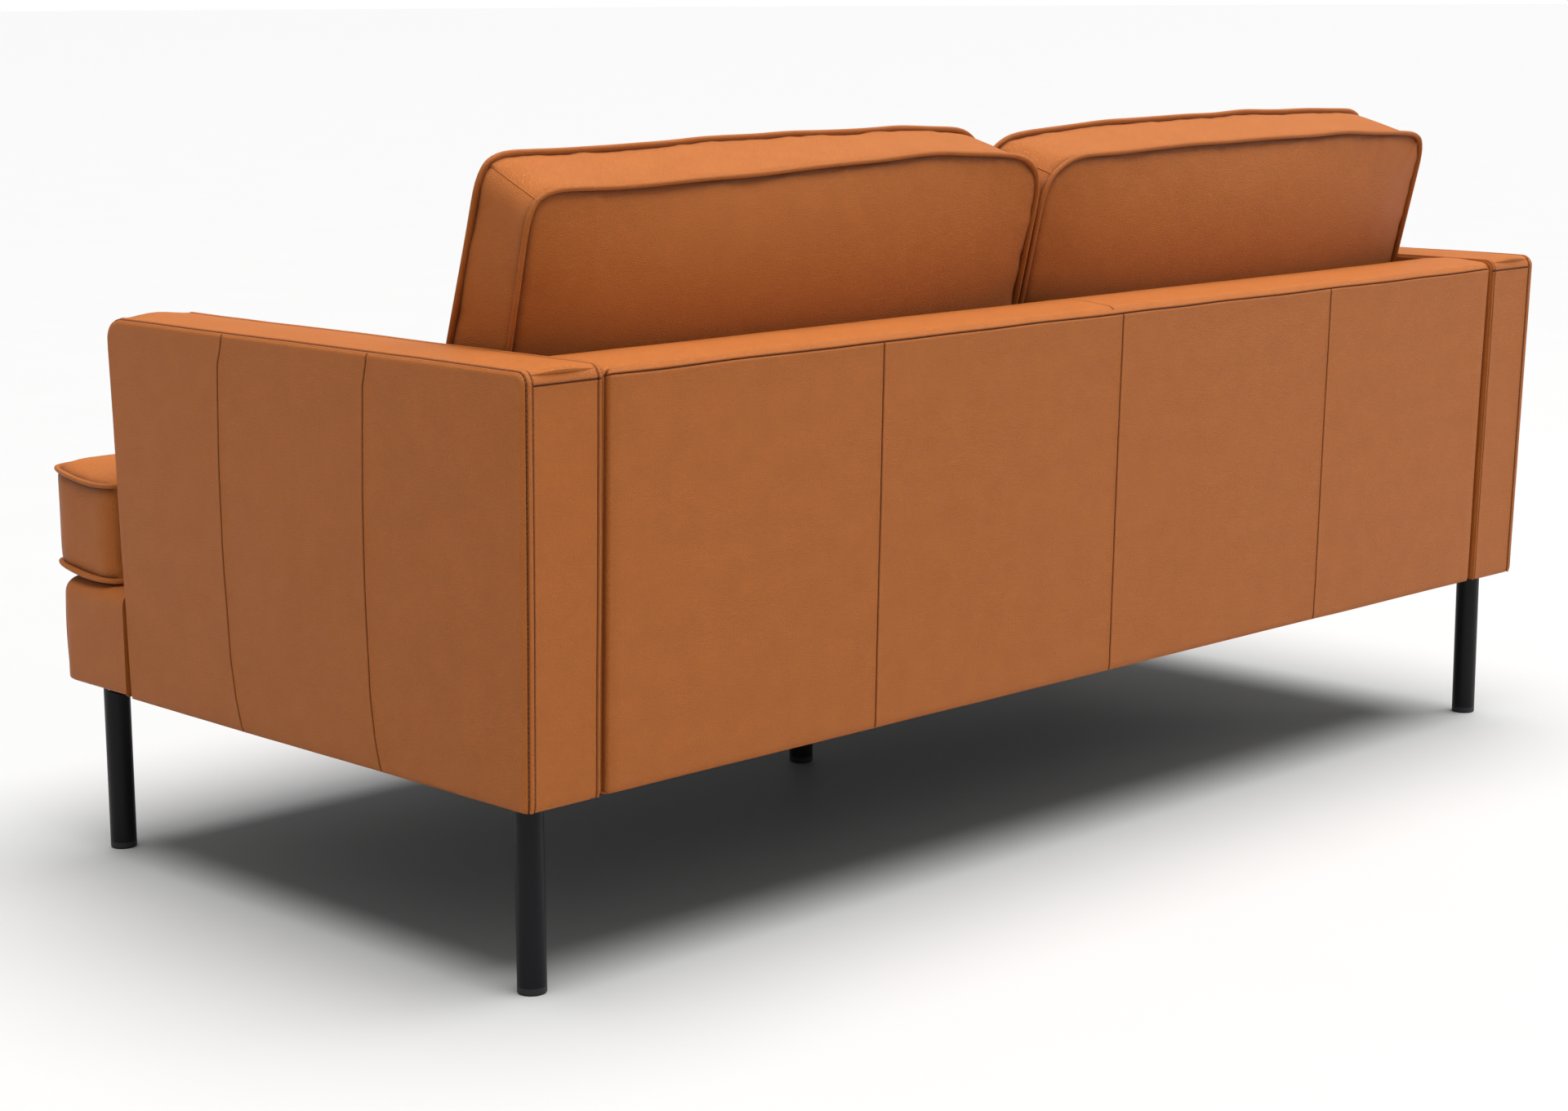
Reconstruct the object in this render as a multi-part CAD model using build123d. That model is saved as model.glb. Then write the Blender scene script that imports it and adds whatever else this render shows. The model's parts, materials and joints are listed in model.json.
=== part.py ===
from build123d import *
import math
import os

# Two-seat sofa: a timber frame padded and covered in leather, on round steel legs,
# with two loose seat cushions and two loose back cushions.
#
# +X points to the sitter's left, +Y to the back and +Z up. The origin is on the floor,
# at the centre of the sofa's outline. Sizes are in millimetres.

# ---- Driving dimensions ----------------------------------------------------------------------

HALF_WIDTH = 931.0          # outer face of an arm
ARM_WIDTH = 105.0
ARM_TOP = 668.0
BACK_TOP = 665.0            # top of the padded backrest between the arms
BODY_BOTTOM = 210.0         # hem of the leather, and the underside of the body
FRAME_BOTTOM = 212.0        # underside of the timber
REAR_LOW = 453.5            # rear face at BODY_BOTTOM
REAR_HIGH = 468.0           # rear face at ARM_TOP: the back flares slightly to the rear
ARM_FRONT_LOW = -288.0      # front edge of an arm at BODY_BOTTOM
ARM_FRONT_HIGH = -300.0     # the same at ARM_TOP: the edge leans forward a little
ARM_FRONT_ROUND = 25.0      # rounding of an arm's top front corner, seen from the side
ARM_REAR_ROUND = 12.0

RAIL_HALF_WIDTH = 930.0     # the front rail runs across, in front of both arms
RAIL_FRONT = -442.0
RAIL_BACK = -292.0
RAIL_CORNER = 26.0
RAIL_TOP = 342.5            # top of the seat deck

LEAN = math.radians(14.0)   # back cushions and the backrest's inner face lean back
LEAN_Y = 308.0              # plane of the back cushions' rear piping, at LEAN_Z
LEAN_Z = 665.0
BACKREST_SET_BACK = 40.0    # backrest's inner face, behind that plane

SEAT_FRONT = -467.6
SEAT_REAR = 266.0
SEAT_BOTTOM = 342.8
SEAT_TOP = 468.0
SEAT_GAP = 1.5              # half the gap between the two seat cushions
SEAT_SIDE = 823.0           # edge of a seat cushion beside the arm
EAR_SIDE = 925.0            # edge of its ear, in front of the arm
EAR_REAR = -317.0

BACK_CUSHION_INNER = 4.0
BACK_CUSHION_OUTER = 812.0
BACK_CUSHION_BOTTOM = 468.6
BACK_CUSHION_TOP = 195.0    # up the lean from LEAN_Z
BACK_CUSHION_REAR = -38.0   # behind the rear piping plane
BACK_CUSHION_FRONT = 128.0  # in front of it

LEG_X = 887.0
REAR_LEG_Y = 408.0
FRONT_LEG_Y = -382.0
CENTRE_LEG_Y = -79.0
LEG_RADIUS = 16.0
LEG_WALL = 2.0

# ---- Build-up of the upholstery and the frame ------------------------------------------------

LEATHER = 2.0
PADDING = 10.0
BOARD = 3.0
FRAME_INSET = LEATHER + PADDING
RAIL_THICK = 25.0
POST_THICK = 45.0
PLY = 22.0
CUSHION_WALL = 3.0          # leather with its lining and wadding
FIT_GAP = 0.5

ARM_INNER = HALF_WIDTH - ARM_WIDTH
FRAME_TOP = 326.0           # top edge of the seat rails
BACK_HALF_WIDTH = ARM_INNER - FIT_GAP
SIDE_RAIL_OUT = ARM_INNER - 0.3
SIDE_RAIL_IN = SIDE_RAIL_OUT - RAIL_THICK
FRONT_RAIL_FACE = RAIL_FRONT + FRAME_INSET
FRONT_RAIL_REAR = FRONT_RAIL_FACE + RAIL_THICK
BACKREST_FOOT = 269.4       # inner face of the backrest below the deck
REAR_RAIL_REAR = BACKREST_FOOT - 1.0
REAR_RAIL_FRONT = REAR_RAIL_REAR - RAIL_THICK
CENTRE_RAIL_HALF = 30.0
CENTRE_RAIL_TOP = 284.0

PLATE_SIZE = 56.0
PLATE_THICK = 3.0
PLATE_SCREW_OFFSET = 21.0
LEG_TOP = FRAME_BOTTOM - PLATE_THICK
GLIDE_HEIGHT = 8.0
GLIDE_PLUG = 10.0
STUD_RADIUS = 4.0
STUD_LENGTH = 15.0

SPRING_WIRE = 1.8           # radius of the wire
SPRING_BEND = 14.0          # radius of each bend of a zigzag spring
SPRING_HALF = 26.0          # half the width of a spring
SPRING_BENDS = 23
SPRING_SPACING = 190.0
SPRINGS_PER_SIDE = 4
SPRING_LEVEL = FRAME_TOP + SPRING_WIRE + 0.2

SIDES = {"left": 1, "right": -1}


# ---- Helpers ---------------------------------------------------------------------------------

def block(x_range, y_range, z_range):
    """Rectangular solid between pairs of coordinates."""
    size = [high - low for low, high in (x_range, y_range, z_range)]
    middle = [(low + high) / 2 for low, high in (x_range, y_range, z_range)]
    return Pos(*middle) * Box(*size)


def outline(corners):
    """Flat face with a corner at each (u, v, radius), rounded where the radius isn't zero."""
    face = Polygon(*[(u, v) for u, v, _ in corners], align=None)
    for u, v, radius in corners:
        if radius > 0:
            corner = face.vertices().sort_by_distance((u, v, 0))[0]
            face = fillet(corner, radius)
    return face


def side_prism(corners, x_range):
    """Solid with the same (y, z) outline all along X."""
    low, high = x_range
    return extrude(Plane.YZ.offset(low) * outline(corners), high - low, dir=(1, 0, 0))


def flat_prism(corners, bottom, top):
    """Solid with the same (x, y) outline at every height."""
    return extrude(Pos(0, 0, bottom) * outline(corners), top - bottom, dir=(0, 0, 1))


def mirror_range(side, low, high):
    """X range on one side of the sofa; side is +1 or -1."""
    return (low, high) if side > 0 else (-high, -low)


def rear_y(z):
    """Rear face of the body at height z."""
    return REAR_LOW + (REAR_HIGH - REAR_LOW) * (z - BODY_BOTTOM) / (ARM_TOP - BODY_BOTTOM)


def arm_front_y(z):
    """Front edge of an arm at height z."""
    share = (z - BODY_BOTTOM) / (ARM_TOP - BODY_BOTTOM)
    return ARM_FRONT_LOW + (ARM_FRONT_HIGH - ARM_FRONT_LOW) * share


def lean_y(z, set_back):
    """Point at height z on the leaning plane that lies set_back behind the rear piping."""
    return LEAN_Y + set_back / math.cos(LEAN) + (z - LEAN_Z) * math.tan(LEAN)


def group(solids):
    """Several separate solids as one node."""
    return Compound(children=list(solids))


# ---- Legs ------------------------------------------------------------------------------------

GLIDE_CHAMFER = 1.5
GLIDE_PLAY = 0.1
STUD_PLAY = 0.02
PLATE_HOLE_RADIUS = 2.3
WOOD_SCREW_HEAD = (4.0, 2.2)      # radius and height
WOOD_SCREW_SHANK = (2.0, 19.0)    # radius and length
CUT = 5.0                         # how far a cutting solid runs past what it cuts


def leg_places():
    """Name and (x, y) of each leg."""
    places = {"leg_centre": (0.0, CENTRE_LEG_Y)}
    for name, side in SIDES.items():
        places["leg_rear_" + name] = (side * LEG_X, REAR_LEG_Y)
        places["leg_front_" + name] = (side * LEG_X, FRONT_LEG_Y)
    return places


def upright_cylinder(place, radius, bottom, top):
    x, y = place
    return Pos(x, y, (bottom + top) / 2) * Cylinder(radius, top - bottom)


def leg(place):
    """Round steel tube, closed at the top, with a threaded stud."""
    tube = upright_cylinder(place, LEG_RADIUS, GLIDE_HEIGHT, LEG_TOP)
    bore_top = LEG_TOP - 2 * LEG_WALL
    bore = upright_cylinder(place, LEG_RADIUS - LEG_WALL, GLIDE_HEIGHT, bore_top)
    stud = upright_cylinder(place, STUD_RADIUS, LEG_TOP, LEG_TOP + STUD_LENGTH)
    return tube - bore + stud


def leg_glide(place):
    """Plastic foot pushed into the bottom of a leg, with a softened lower edge."""
    foot = upright_cylinder(place, LEG_RADIUS, 0, GLIDE_HEIGHT)
    foot = chamfer(foot.edges().group_by(Axis.Z)[0], GLIDE_CHAMFER)
    plug_radius = LEG_RADIUS - LEG_WALL - GLIDE_PLAY
    return foot + upright_cylinder(place, plug_radius, GLIDE_HEIGHT, GLIDE_HEIGHT + GLIDE_PLUG)


def plate_screw_places(place):
    x, y = place
    signs = [(a, b) for a in (-1, 1) for b in (-1, 1)]
    return [(x + a * PLATE_SCREW_OFFSET, y + b * PLATE_SCREW_OFFSET) for a, b in signs]


def leg_plate(place):
    """Square mounting plate under the timber, tapped for the stud, with four screw holes."""
    x, y = place
    half = PLATE_SIZE / 2
    plate = block((x - half, x + half), (y - half, y + half), (LEG_TOP, FRAME_BOTTOM))
    plate -= upright_cylinder(place, STUD_RADIUS + STUD_PLAY, LEG_TOP - CUT, FRAME_BOTTOM + CUT)
    for screw in plate_screw_places(place):
        plate -= upright_cylinder(screw, PLATE_HOLE_RADIUS, LEG_TOP - CUT, FRAME_BOTTOM + CUT)
    return plate


def wood_screw(place):
    """Pan-head screw, driven up through a plate into the timber."""
    head_radius, head_height = WOOD_SCREW_HEAD
    shank_radius, length = WOOD_SCREW_SHANK
    head = upright_cylinder(place, head_radius, LEG_TOP - head_height, LEG_TOP)
    shank = upright_cylinder(place, shank_radius, LEG_TOP, LEG_TOP + length)
    return head + shank


def leg_nodes():
    places = leg_places()
    nodes = {name: leg(place) for name, place in places.items()}
    nodes["leg_glides"] = group(leg_glide(place) for place in places.values())
    nodes["leg_plates"] = group(leg_plate(place) for place in places.values())
    screws = [screw for place in places.values() for screw in plate_screw_places(place)]
    nodes["leg_plate_screws"] = group(wood_screw(place) for place in screws)
    return nodes


# ---- Arms ------------------------------------------------------------------------------------

def arm_prism(x_range, inset, bottom):
    """Side outline of an arm, drawn in by inset at the front, rear and top."""
    top = ARM_TOP - inset
    corners = [
        (arm_front_y(bottom) + inset, bottom, 0),
        (rear_y(bottom) - inset, bottom, 0),
        (rear_y(top) - inset, top, max(ARM_REAR_ROUND - inset, 0)),
        (arm_front_y(top) + inset, top, ARM_FRONT_ROUND - inset),
    ]
    return side_prism(corners, x_range)


def arm_post(x_range, face_y, offset, bottom, top):
    """Upright that follows a sloping edge; offset is measured rearwards from that edge."""
    corners = [
        (face_y(bottom) + offset, bottom, 0),
        (face_y(bottom) + offset + POST_THICK, bottom, 0),
        (face_y(top) + offset + POST_THICK, top, 0),
        (face_y(top) + offset, top, 0),
    ]
    return side_prism(corners, x_range)


def arm_nodes(name, side):
    """One arm: timber frame, outer board, padding and leather cover, both open underneath."""
    skin = mirror_range(side, ARM_INNER, HALF_WIDTH)
    inside_skin = mirror_range(side, ARM_INNER + LEATHER, HALF_WIDTH - LEATHER)
    core = mirror_range(side, ARM_INNER + FRAME_INSET, HALF_WIDTH - FRAME_INSET)
    timber = mirror_range(side, ARM_INNER + FRAME_INSET, HALF_WIDTH - FRAME_INSET - BOARD)
    board = mirror_range(side, HALF_WIDTH - FRAME_INSET - BOARD, HALF_WIDTH - FRAME_INSET)
    below = BODY_BOTTOM - CUT

    cover = arm_prism(skin, 0, BODY_BOTTOM) - arm_prism(inside_skin, LEATHER, below)
    padding = arm_prism(inside_skin, LEATHER, BODY_BOTTOM) - arm_prism(core, FRAME_INSET, below)

    frame_top = ARM_TOP - FRAME_INSET
    rail_top = FRAME_BOTTOM + POST_THICK
    high_rail = frame_top - POST_THICK
    solid = arm_prism(timber, FRAME_INSET, FRAME_BOTTOM)
    everywhere = (-HALF_WIDTH, HALF_WIDTH)
    low_slab = block(everywhere, everywhere, (FRAME_BOTTOM, rail_top))
    high_slab = block(everywhere, everywhere, (high_rail, frame_top))
    prefix = "arm_" + name + "_"
    return {
        prefix + "cover": cover,
        prefix + "padding": padding,
        prefix + "outer_board": arm_prism(board, FRAME_INSET, FRAME_BOTTOM),
        prefix + "bottom_rail": solid & low_slab,
        prefix + "top_rail": solid & high_slab,
        prefix + "front_post": arm_post(timber, arm_front_y, FRAME_INSET, rail_top, high_rail),
        prefix + "rear_post": arm_post(
            timber, rear_y, -FRAME_INSET - POST_THICK, rail_top, high_rail
        ),
    }


# ---- Backrest --------------------------------------------------------------------------------

def back_prism(x_range, inset, bottom):
    """Wedge outline of the backrest, drawn in by inset on every side but the bottom."""
    top = BACK_TOP - inset
    slope_set_back = BACKREST_SET_BACK + inset
    foot = BACKREST_FOOT + inset
    knee = LEAN_Z + (foot - lean_y(LEAN_Z, slope_set_back)) / math.tan(LEAN)
    corners = [
        (foot, bottom, 0),
        (rear_y(bottom) - inset, bottom, 0),
        (rear_y(top) - inset, top, max(ARM_REAR_ROUND - inset, 0)),
        (lean_y(top, slope_set_back), top, max(ARM_REAR_ROUND - inset, 0)),
        (foot, knee, 0),
    ]
    return side_prism(corners, x_range)


WEB_THICK = 2.0
WEB_HEIGHT = 60.0
WEB_LEVELS = [395.0, 470.0, 545.0]


def back_web(level):
    """Elastic belt across the front of the backrest frame, under the padding."""
    front = BACKREST_SET_BACK + FRAME_INSET
    top = level + WEB_HEIGHT
    corners = [
        (lean_y(level, front), level, 0),
        (lean_y(level, front + WEB_THICK), level, 0),
        (lean_y(top, front + WEB_THICK), top, 0),
        (lean_y(top, front), top, 0),
    ]
    half = BACK_HALF_WIDTH - FRAME_INSET - FIT_GAP
    return side_prism(corners, (-half, half))


def back_upright(centre):
    """Shaped plywood upright that gives the backrest its wedge form."""
    bottom = FRAME_BOTTOM + PLY
    top = BACK_TOP - FRAME_INSET - PLY
    front = BACKREST_SET_BACK + FRAME_INSET + WEB_THICK
    rear_inset = FRAME_INSET + BOARD
    foot = BACKREST_FOOT + FRAME_INSET + WEB_THICK
    knee = LEAN_Z + (foot - lean_y(LEAN_Z, front)) / math.tan(LEAN)
    corners = [
        (foot, bottom, 0),
        (rear_y(bottom) - rear_inset, bottom, 0),
        (rear_y(top) - rear_inset, top, 0),
        (lean_y(top, front), top, 0),
        (foot, knee, 0),
    ]
    return side_prism(corners, (centre - PLY / 2, centre + PLY / 2))


def back_board():
    """Thin board behind the uprights."""
    bottom = FRAME_BOTTOM
    top = BACK_TOP - FRAME_INSET
    corners = [
        (rear_y(bottom) - FRAME_INSET - BOARD, bottom, 0),
        (rear_y(bottom) - FRAME_INSET, bottom, 0),
        (rear_y(top) - FRAME_INSET, top, 0),
        (rear_y(top) - FRAME_INSET - BOARD, top, 0),
    ]
    half = BACK_HALF_WIDTH - FRAME_INSET - FIT_GAP
    return side_prism(corners, (-half, half))


def back_rail(bottom, top):
    """Lying plywood rail as deep as the backrest frame at that height."""
    half = BACK_HALF_WIDTH - FRAME_INSET - FIT_GAP
    front = max(
        lean_y(top, BACKREST_SET_BACK + FRAME_INSET + WEB_THICK),
        BACKREST_FOOT + FRAME_INSET + WEB_THICK,
    )
    rear = rear_y(bottom) - FRAME_INSET - BOARD
    return block((-half, half), (front, rear), (bottom, top))


def back_nodes():
    """Backrest between the arms."""
    width = (-BACK_HALF_WIDTH, BACK_HALF_WIDTH)
    inside_skin = (-BACK_HALF_WIDTH + LEATHER, BACK_HALF_WIDTH - LEATHER)
    core = (-BACK_HALF_WIDTH + FRAME_INSET, BACK_HALF_WIDTH - FRAME_INSET)
    below = BODY_BOTTOM - CUT
    upright_x = BACK_HALF_WIDTH - FRAME_INSET - FIT_GAP - PLY / 2
    top = BACK_TOP - FRAME_INSET
    return {
        "back_cover": back_prism(width, 0, BODY_BOTTOM) - back_prism(inside_skin, LEATHER, below),
        "back_padding": (
            back_prism(inside_skin, LEATHER, BODY_BOTTOM) - back_prism(core, FRAME_INSET, below)
        ),
        "back_board": back_board(),
        "back_top_rail": back_rail(top - PLY, top),
        "back_bottom_rail": back_rail(FRAME_BOTTOM, FRAME_BOTTOM + PLY),
        "back_upright_left": back_upright(upright_x),
        "back_upright_centre": back_upright(0.0),
        "back_upright_right": back_upright(-upright_x),
        "back_webbing": group(back_web(level) for level in WEB_LEVELS),
    }


# ---- Seat base -------------------------------------------------------------------------------

def rail_prism(inset, bottom):
    """Box of the front rail with rounded front corners, drawn in by inset."""
    half = RAIL_HALF_WIDTH - inset
    corners = [
        (-half, RAIL_FRONT + inset, RAIL_CORNER - inset),
        (half, RAIL_FRONT + inset, RAIL_CORNER - inset),
        (half, RAIL_BACK - inset, 0),
        (-half, RAIL_BACK - inset, 0),
    ]
    return flat_prism(corners, bottom, RAIL_TOP - inset)


def front_rail_skins():
    """Leather cover and padding of the front rail; both are open below and behind the seat."""
    doorway = (-ARM_INNER, ARM_INNER)
    below = BODY_BOTTOM - CUT
    past = RAIL_BACK + CUT
    cover = rail_prism(0, BODY_BOTTOM) - rail_prism(LEATHER, below)
    cover -= block(doorway, (RAIL_BACK - LEATHER, past), (below, RAIL_TOP - LEATHER))
    padding = rail_prism(LEATHER, BODY_BOTTOM) - rail_prism(FRAME_INSET, below)
    padding -= block(
        doorway, (RAIL_BACK - FRAME_INSET, past), (below, RAIL_TOP - FRAME_INSET)
    )
    return cover, padding


CORNER_BLOCK_REACH = 80.0
CORNER_BLOCK_LEVELS = (240.0, 300.0)
LEG_BLOCK_INNER = 845.0           # block that carries a front leg, behind the front rail
LEG_BLOCK_REAR = -345.0
WING_BOARD_THICK = 18.0
WING_BOARD_PLAY = 4.0
CLIP_HALF = (9.0, 6.0)            # half width and half depth of a spring clip
CLIP_OVER = 0.4                   # clip over the spring wire
CLIP_SLOT_PLAY = 0.2
FIRST_SPRING = 0.6                # distance of the first spring, in spring spacings
DECK_PLAY = 0.2
FELT_OVER_SPRINGS = 1.0
DUST_THICK = 0.8
DUST_MARGIN = 9.0
DUST_HOLE_PLAY = 2.0


def corner_block(x, y, x_sign, y_sign):
    """Triangular glue block in a corner of the seat frame."""
    reach = CORNER_BLOCK_REACH
    corners = [(x, y, 0), (x - x_sign * reach, y, 0), (x, y + y_sign * reach, 0)]
    return flat_prism(corners, *CORNER_BLOCK_LEVELS)


def spring_path():
    """Centre line of one zigzag spring, from the front rail to the rear rail."""
    reach = SPRING_HALF - SPRING_BEND
    y = -SPRING_BEND * SPRING_BENDS
    lines = []
    for index in range(SPRING_BENDS):
        way = 1 if index % 2 == 0 else -1
        lines.append(Line((-way * reach, y), (way * reach, y)))
        middle = (way * (reach + SPRING_BEND), y + SPRING_BEND)
        lines.append(ThreePointArc((way * reach, y), middle, (way * reach, y + 2 * SPRING_BEND)))
        y += 2 * SPRING_BEND
    start = reach if SPRING_BENDS % 2 else -reach
    lines.append(Line((start, y), (-start, y)))
    return Wire(lines)


def spring_centre_y():
    return (FRONT_RAIL_FACE + FRONT_RAIL_REAR + REAR_RAIL_FRONT + REAR_RAIL_REAR) / 4


def spring_places():
    """X of each spring, either side of the middle rail."""
    steps = [SPRING_SPACING * (FIRST_SPRING + index) for index in range(SPRINGS_PER_SIDE)]
    return [side * step for side in (-1, 1) for step in steps]


def zigzag_spring():
    path = spring_path()
    start = path @ 0
    section = Plane(origin=start, z_dir=path % 0) * Circle(SPRING_WIRE)
    return sweep(section, path)


def spring_clip(x, y):
    """Clip on a rail that holds the end of a spring."""
    wide, deep = CLIP_HALF
    top = SPRING_LEVEL + SPRING_WIRE + CLIP_OVER
    body = block((x - wide, x + wide), (y - deep, y + deep), (FRAME_TOP, top))
    half = SPRING_WIRE + CLIP_SLOT_PLAY
    past = wide + CUT
    slot_level = (SPRING_LEVEL - SPRING_WIRE - CLIP_SLOT_PLAY / 2, SPRING_LEVEL + half)
    return body - block((x - past, x + past), (y - half, y + half), slot_level)


def seat_nodes():
    """Seat frame, springs, deck and front rail."""
    height = (FRAME_BOTTOM, FRAME_TOP)
    side_rail = (FRONT_RAIL_REAR, REAR_RAIL_REAR)
    rail_inner = RAIL_HALF_WIDTH - FRAME_INSET
    front_rail_half = RAIL_HALF_WIDTH - RAIL_CORNER
    cover, padding = front_rail_skins()
    wing_rear = RAIL_BACK - FRAME_INSET
    middle = spring_centre_y()
    reach = SPRING_BEND * SPRING_BENDS
    spring = Pos(0, middle, SPRING_LEVEL) * zigzag_spring()
    ends = (middle - reach, middle + reach)
    corners = [
        (side * SIDE_RAIL_IN, y, side, sign)
        for side in (-1, 1)
        for y, sign in ((FRONT_RAIL_REAR, 1), (REAR_RAIL_FRONT, -1))
    ]
    leg_block = (LEG_BLOCK_INNER, rail_inner - FIT_GAP)
    wing_board = (ARM_INNER + WING_BOARD_PLAY, rail_inner)
    deck_y = (RAIL_BACK + DECK_PLAY, BACKREST_FOOT - 5 * DECK_PLAY)
    deck_x = (-BACK_HALF_WIDTH, BACK_HALF_WIDTH)
    felt_z = (SPRING_LEVEL + SPRING_WIRE + FELT_OVER_SPRINGS, RAIL_TOP - LEATHER)
    nodes = {
        "seat_front_rail": block(
            (-front_rail_half, front_rail_half), (FRONT_RAIL_FACE, FRONT_RAIL_REAR), height
        ),
        "seat_rear_rail": block(
            (-SIDE_RAIL_IN, SIDE_RAIL_IN), (REAR_RAIL_FRONT, REAR_RAIL_REAR), height
        ),
        "seat_centre_rail": block(
            (-CENTRE_RAIL_HALF, CENTRE_RAIL_HALF),
            (FRONT_RAIL_REAR, REAR_RAIL_FRONT),
            (FRAME_BOTTOM, CENTRE_RAIL_TOP),
        ),
        "front_leg_blocks": group(
            block(mirror_range(side, *leg_block), (FRONT_RAIL_REAR, LEG_BLOCK_REAR), height)
            for side in (-1, 1)
        ),
        "wing_back_boards": group(
            block(mirror_range(side, *wing_board), (wing_rear - WING_BOARD_THICK, wing_rear), height)
            for side in (-1, 1)
        ),
        "corner_blocks": group(corner_block(*corner) for corner in corners),
        "seat_springs": group(Pos(x, 0, 0) * spring for x in spring_places()),
        "spring_clips": group(spring_clip(x, y) for x in spring_places() for y in ends),
        "deck_felt": block(deck_x, deck_y, felt_z),
        "deck_cloth": block(deck_x, deck_y, (RAIL_TOP - LEATHER, RAIL_TOP)),
        "front_rail_cover": cover,
        "front_rail_padding": padding,
        "dust_cover": dust_cover(),
    }
    for name, side in SIDES.items():
        rail = mirror_range(side, SIDE_RAIL_IN, SIDE_RAIL_OUT)
        nodes["seat_side_rail_" + name] = block(rail, side_rail, height)
    return nodes


def dust_cover():
    """Thin black cloth stapled over the underside, cut out around the leg plates."""
    margin = DUST_MARGIN
    level = (BODY_BOTTOM - DUST_THICK, BODY_BOTTOM)
    through = (level[0] - CUT, level[1] + CUT)
    wide = HALF_WIDTH - margin
    cloth = block((-wide, wide), (ARM_FRONT_LOW + margin, REAR_LOW - margin), level)
    cloth += block((-wide, wide), (RAIL_FRONT + margin, RAIL_BACK - margin), level)
    inner = ARM_INNER - margin
    cloth += block((-inner, inner), (RAIL_BACK - 2 * margin, ARM_FRONT_LOW + 2 * margin), level)
    half = PLATE_SIZE / 2 + DUST_HOLE_PLAY
    for x, y in leg_places().values():
        cloth -= block((x - half, x + half), (y - half, y + half), through)
    return cloth


# ---- Frame screws ----------------------------------------------------------------------------

HEX_HEAD_RADIUS = 6.5
HEX_HEAD_HALF = 2.5
COACH_SHANK_RADIUS = 4.0
ARM_SCREW_YS = (-200.0, -40.0, 120.0)
ARM_SCREW_RISE = 24.0
ARM_SCREW_LENGTH = 64.0
BACK_SCREW_LEVELS = (310.0, 560.0)
BACK_SCREW_LENGTH = 74.0


def coach_screw(side, y, z, start, length):
    """Hexagon-head screw that draws two frames together sideways."""
    turn = Rot(0, 90 * side, 0)
    hexagon = extrude(RegularPolygon(HEX_HEAD_RADIUS, 6), HEX_HEAD_HALF, both=True)
    head = Pos(side * (start - HEX_HEAD_HALF), y, z) * turn * hexagon
    shank = Pos(side * (start + length / 2), y, z) * turn * Cylinder(COACH_SHANK_RADIUS, length)
    return head + shank


def frame_screws():
    """Three screws per side join the seat to an arm; two join the backrest to it."""
    screws = []
    upright_face = BACK_HALF_WIDTH - FRAME_INSET - FIT_GAP - PLY
    for side in (-1, 1):
        for y in ARM_SCREW_YS:
            z = FRAME_BOTTOM + ARM_SCREW_RISE
            screws.append(coach_screw(side, y, z, SIDE_RAIL_IN, ARM_SCREW_LENGTH))
        for z in BACK_SCREW_LEVELS:
            y = rear_y(z) - FRAME_INSET - POST_THICK / 2
            screws.append(coach_screw(side, y, z, upright_face, BACK_SCREW_LENGTH))
    return group(screws)


# ---- Cushions --------------------------------------------------------------------------------

ZIPPER_DEPTH = 2.2
ZIPPER_TAPE = 24.0
TAPE_THICK = 0.8
TEETH_WIDE = 5.0
TEETH_SHORT = 30.0                # tape without teeth, of which more lies at the slider's end
TEETH_OFFSET = -8.0
SLIDER = (10.0, 8.0, 1.2)
PULL = (4.0, 12.0, 0.8)
PULL_OFFSET = 5.0
SEAT_ZIPPER = 560.0
BACK_ZIPPER = 520.0
EDGE_ROUND = 5.0                  # of a seat cushion, at its top and bottom
BACK_TOP_CORNER = 46.0            # of a back cushion, seen from the front


def zipper(length):
    """Closed zipper: tape with its row of teeth, and the slider at one end.

    It lies along X, centred, with its outer face up at z = 0.
    """
    tape = Pos(0, 0, -ZIPPER_DEPTH + TAPE_THICK / 2) * Box(length, ZIPPER_TAPE, TAPE_THICK)
    teeth_length = length - TEETH_SHORT
    teeth_high = ZIPPER_DEPTH - TAPE_THICK / 2
    teeth = Pos(TEETH_OFFSET, 0, -ZIPPER_DEPTH / 2) * Box(teeth_length, TEETH_WIDE, teeth_high)
    slider_x = TEETH_OFFSET + teeth_length / 2 + SLIDER[0] / 2 + 1
    slider = Pos(slider_x, 0, -TAPE_THICK) * Box(*SLIDER)
    slider += Pos(slider_x, PULL_OFFSET, -TAPE_THICK) * Box(*PULL)
    return group([tape + teeth, slider])


def zipper_pocket(length):
    """Recess for a zipper in the face of a cushion."""
    return Pos(0, 0, -ZIPPER_DEPTH / 2) * Box(length + 1, ZIPPER_TAPE + 1, ZIPPER_DEPTH)


def seat_cushion_solid(side, inset):
    """L-shaped cushion: its ear passes in front of the arm."""
    corners = [
        (SEAT_GAP + inset, SEAT_REAR - inset, 8),
        (SEAT_GAP + inset, SEAT_FRONT + inset, 12),
        (EAR_SIDE - inset, SEAT_FRONT + inset, 28 - inset),
        (EAR_SIDE - inset, EAR_REAR - inset, 24 - inset),
        (SEAT_SIDE - inset, EAR_REAR - inset, 6),
        (SEAT_SIDE - inset, SEAT_REAR - inset, 12),
    ]
    corners = [(side * x, y, radius) for x, y, radius in corners]
    bottom = SEAT_BOTTOM + inset
    top = SEAT_TOP - inset
    solid = flat_prism(corners, bottom, top)
    if inset == 0:
        levels = solid.edges().group_by(Axis.Z)
        solid = fillet(levels[0] + levels[-1], EDGE_ROUND)
    return solid


def lean_plane():
    """Plane of the rear piping: local x is along +X and local y runs up the lean."""
    forward = (0, -math.cos(LEAN), math.sin(LEAN))
    return Plane(origin=(0, LEAN_Y, LEAN_Z), x_dir=(1, 0, 0), z_dir=forward)


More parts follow.
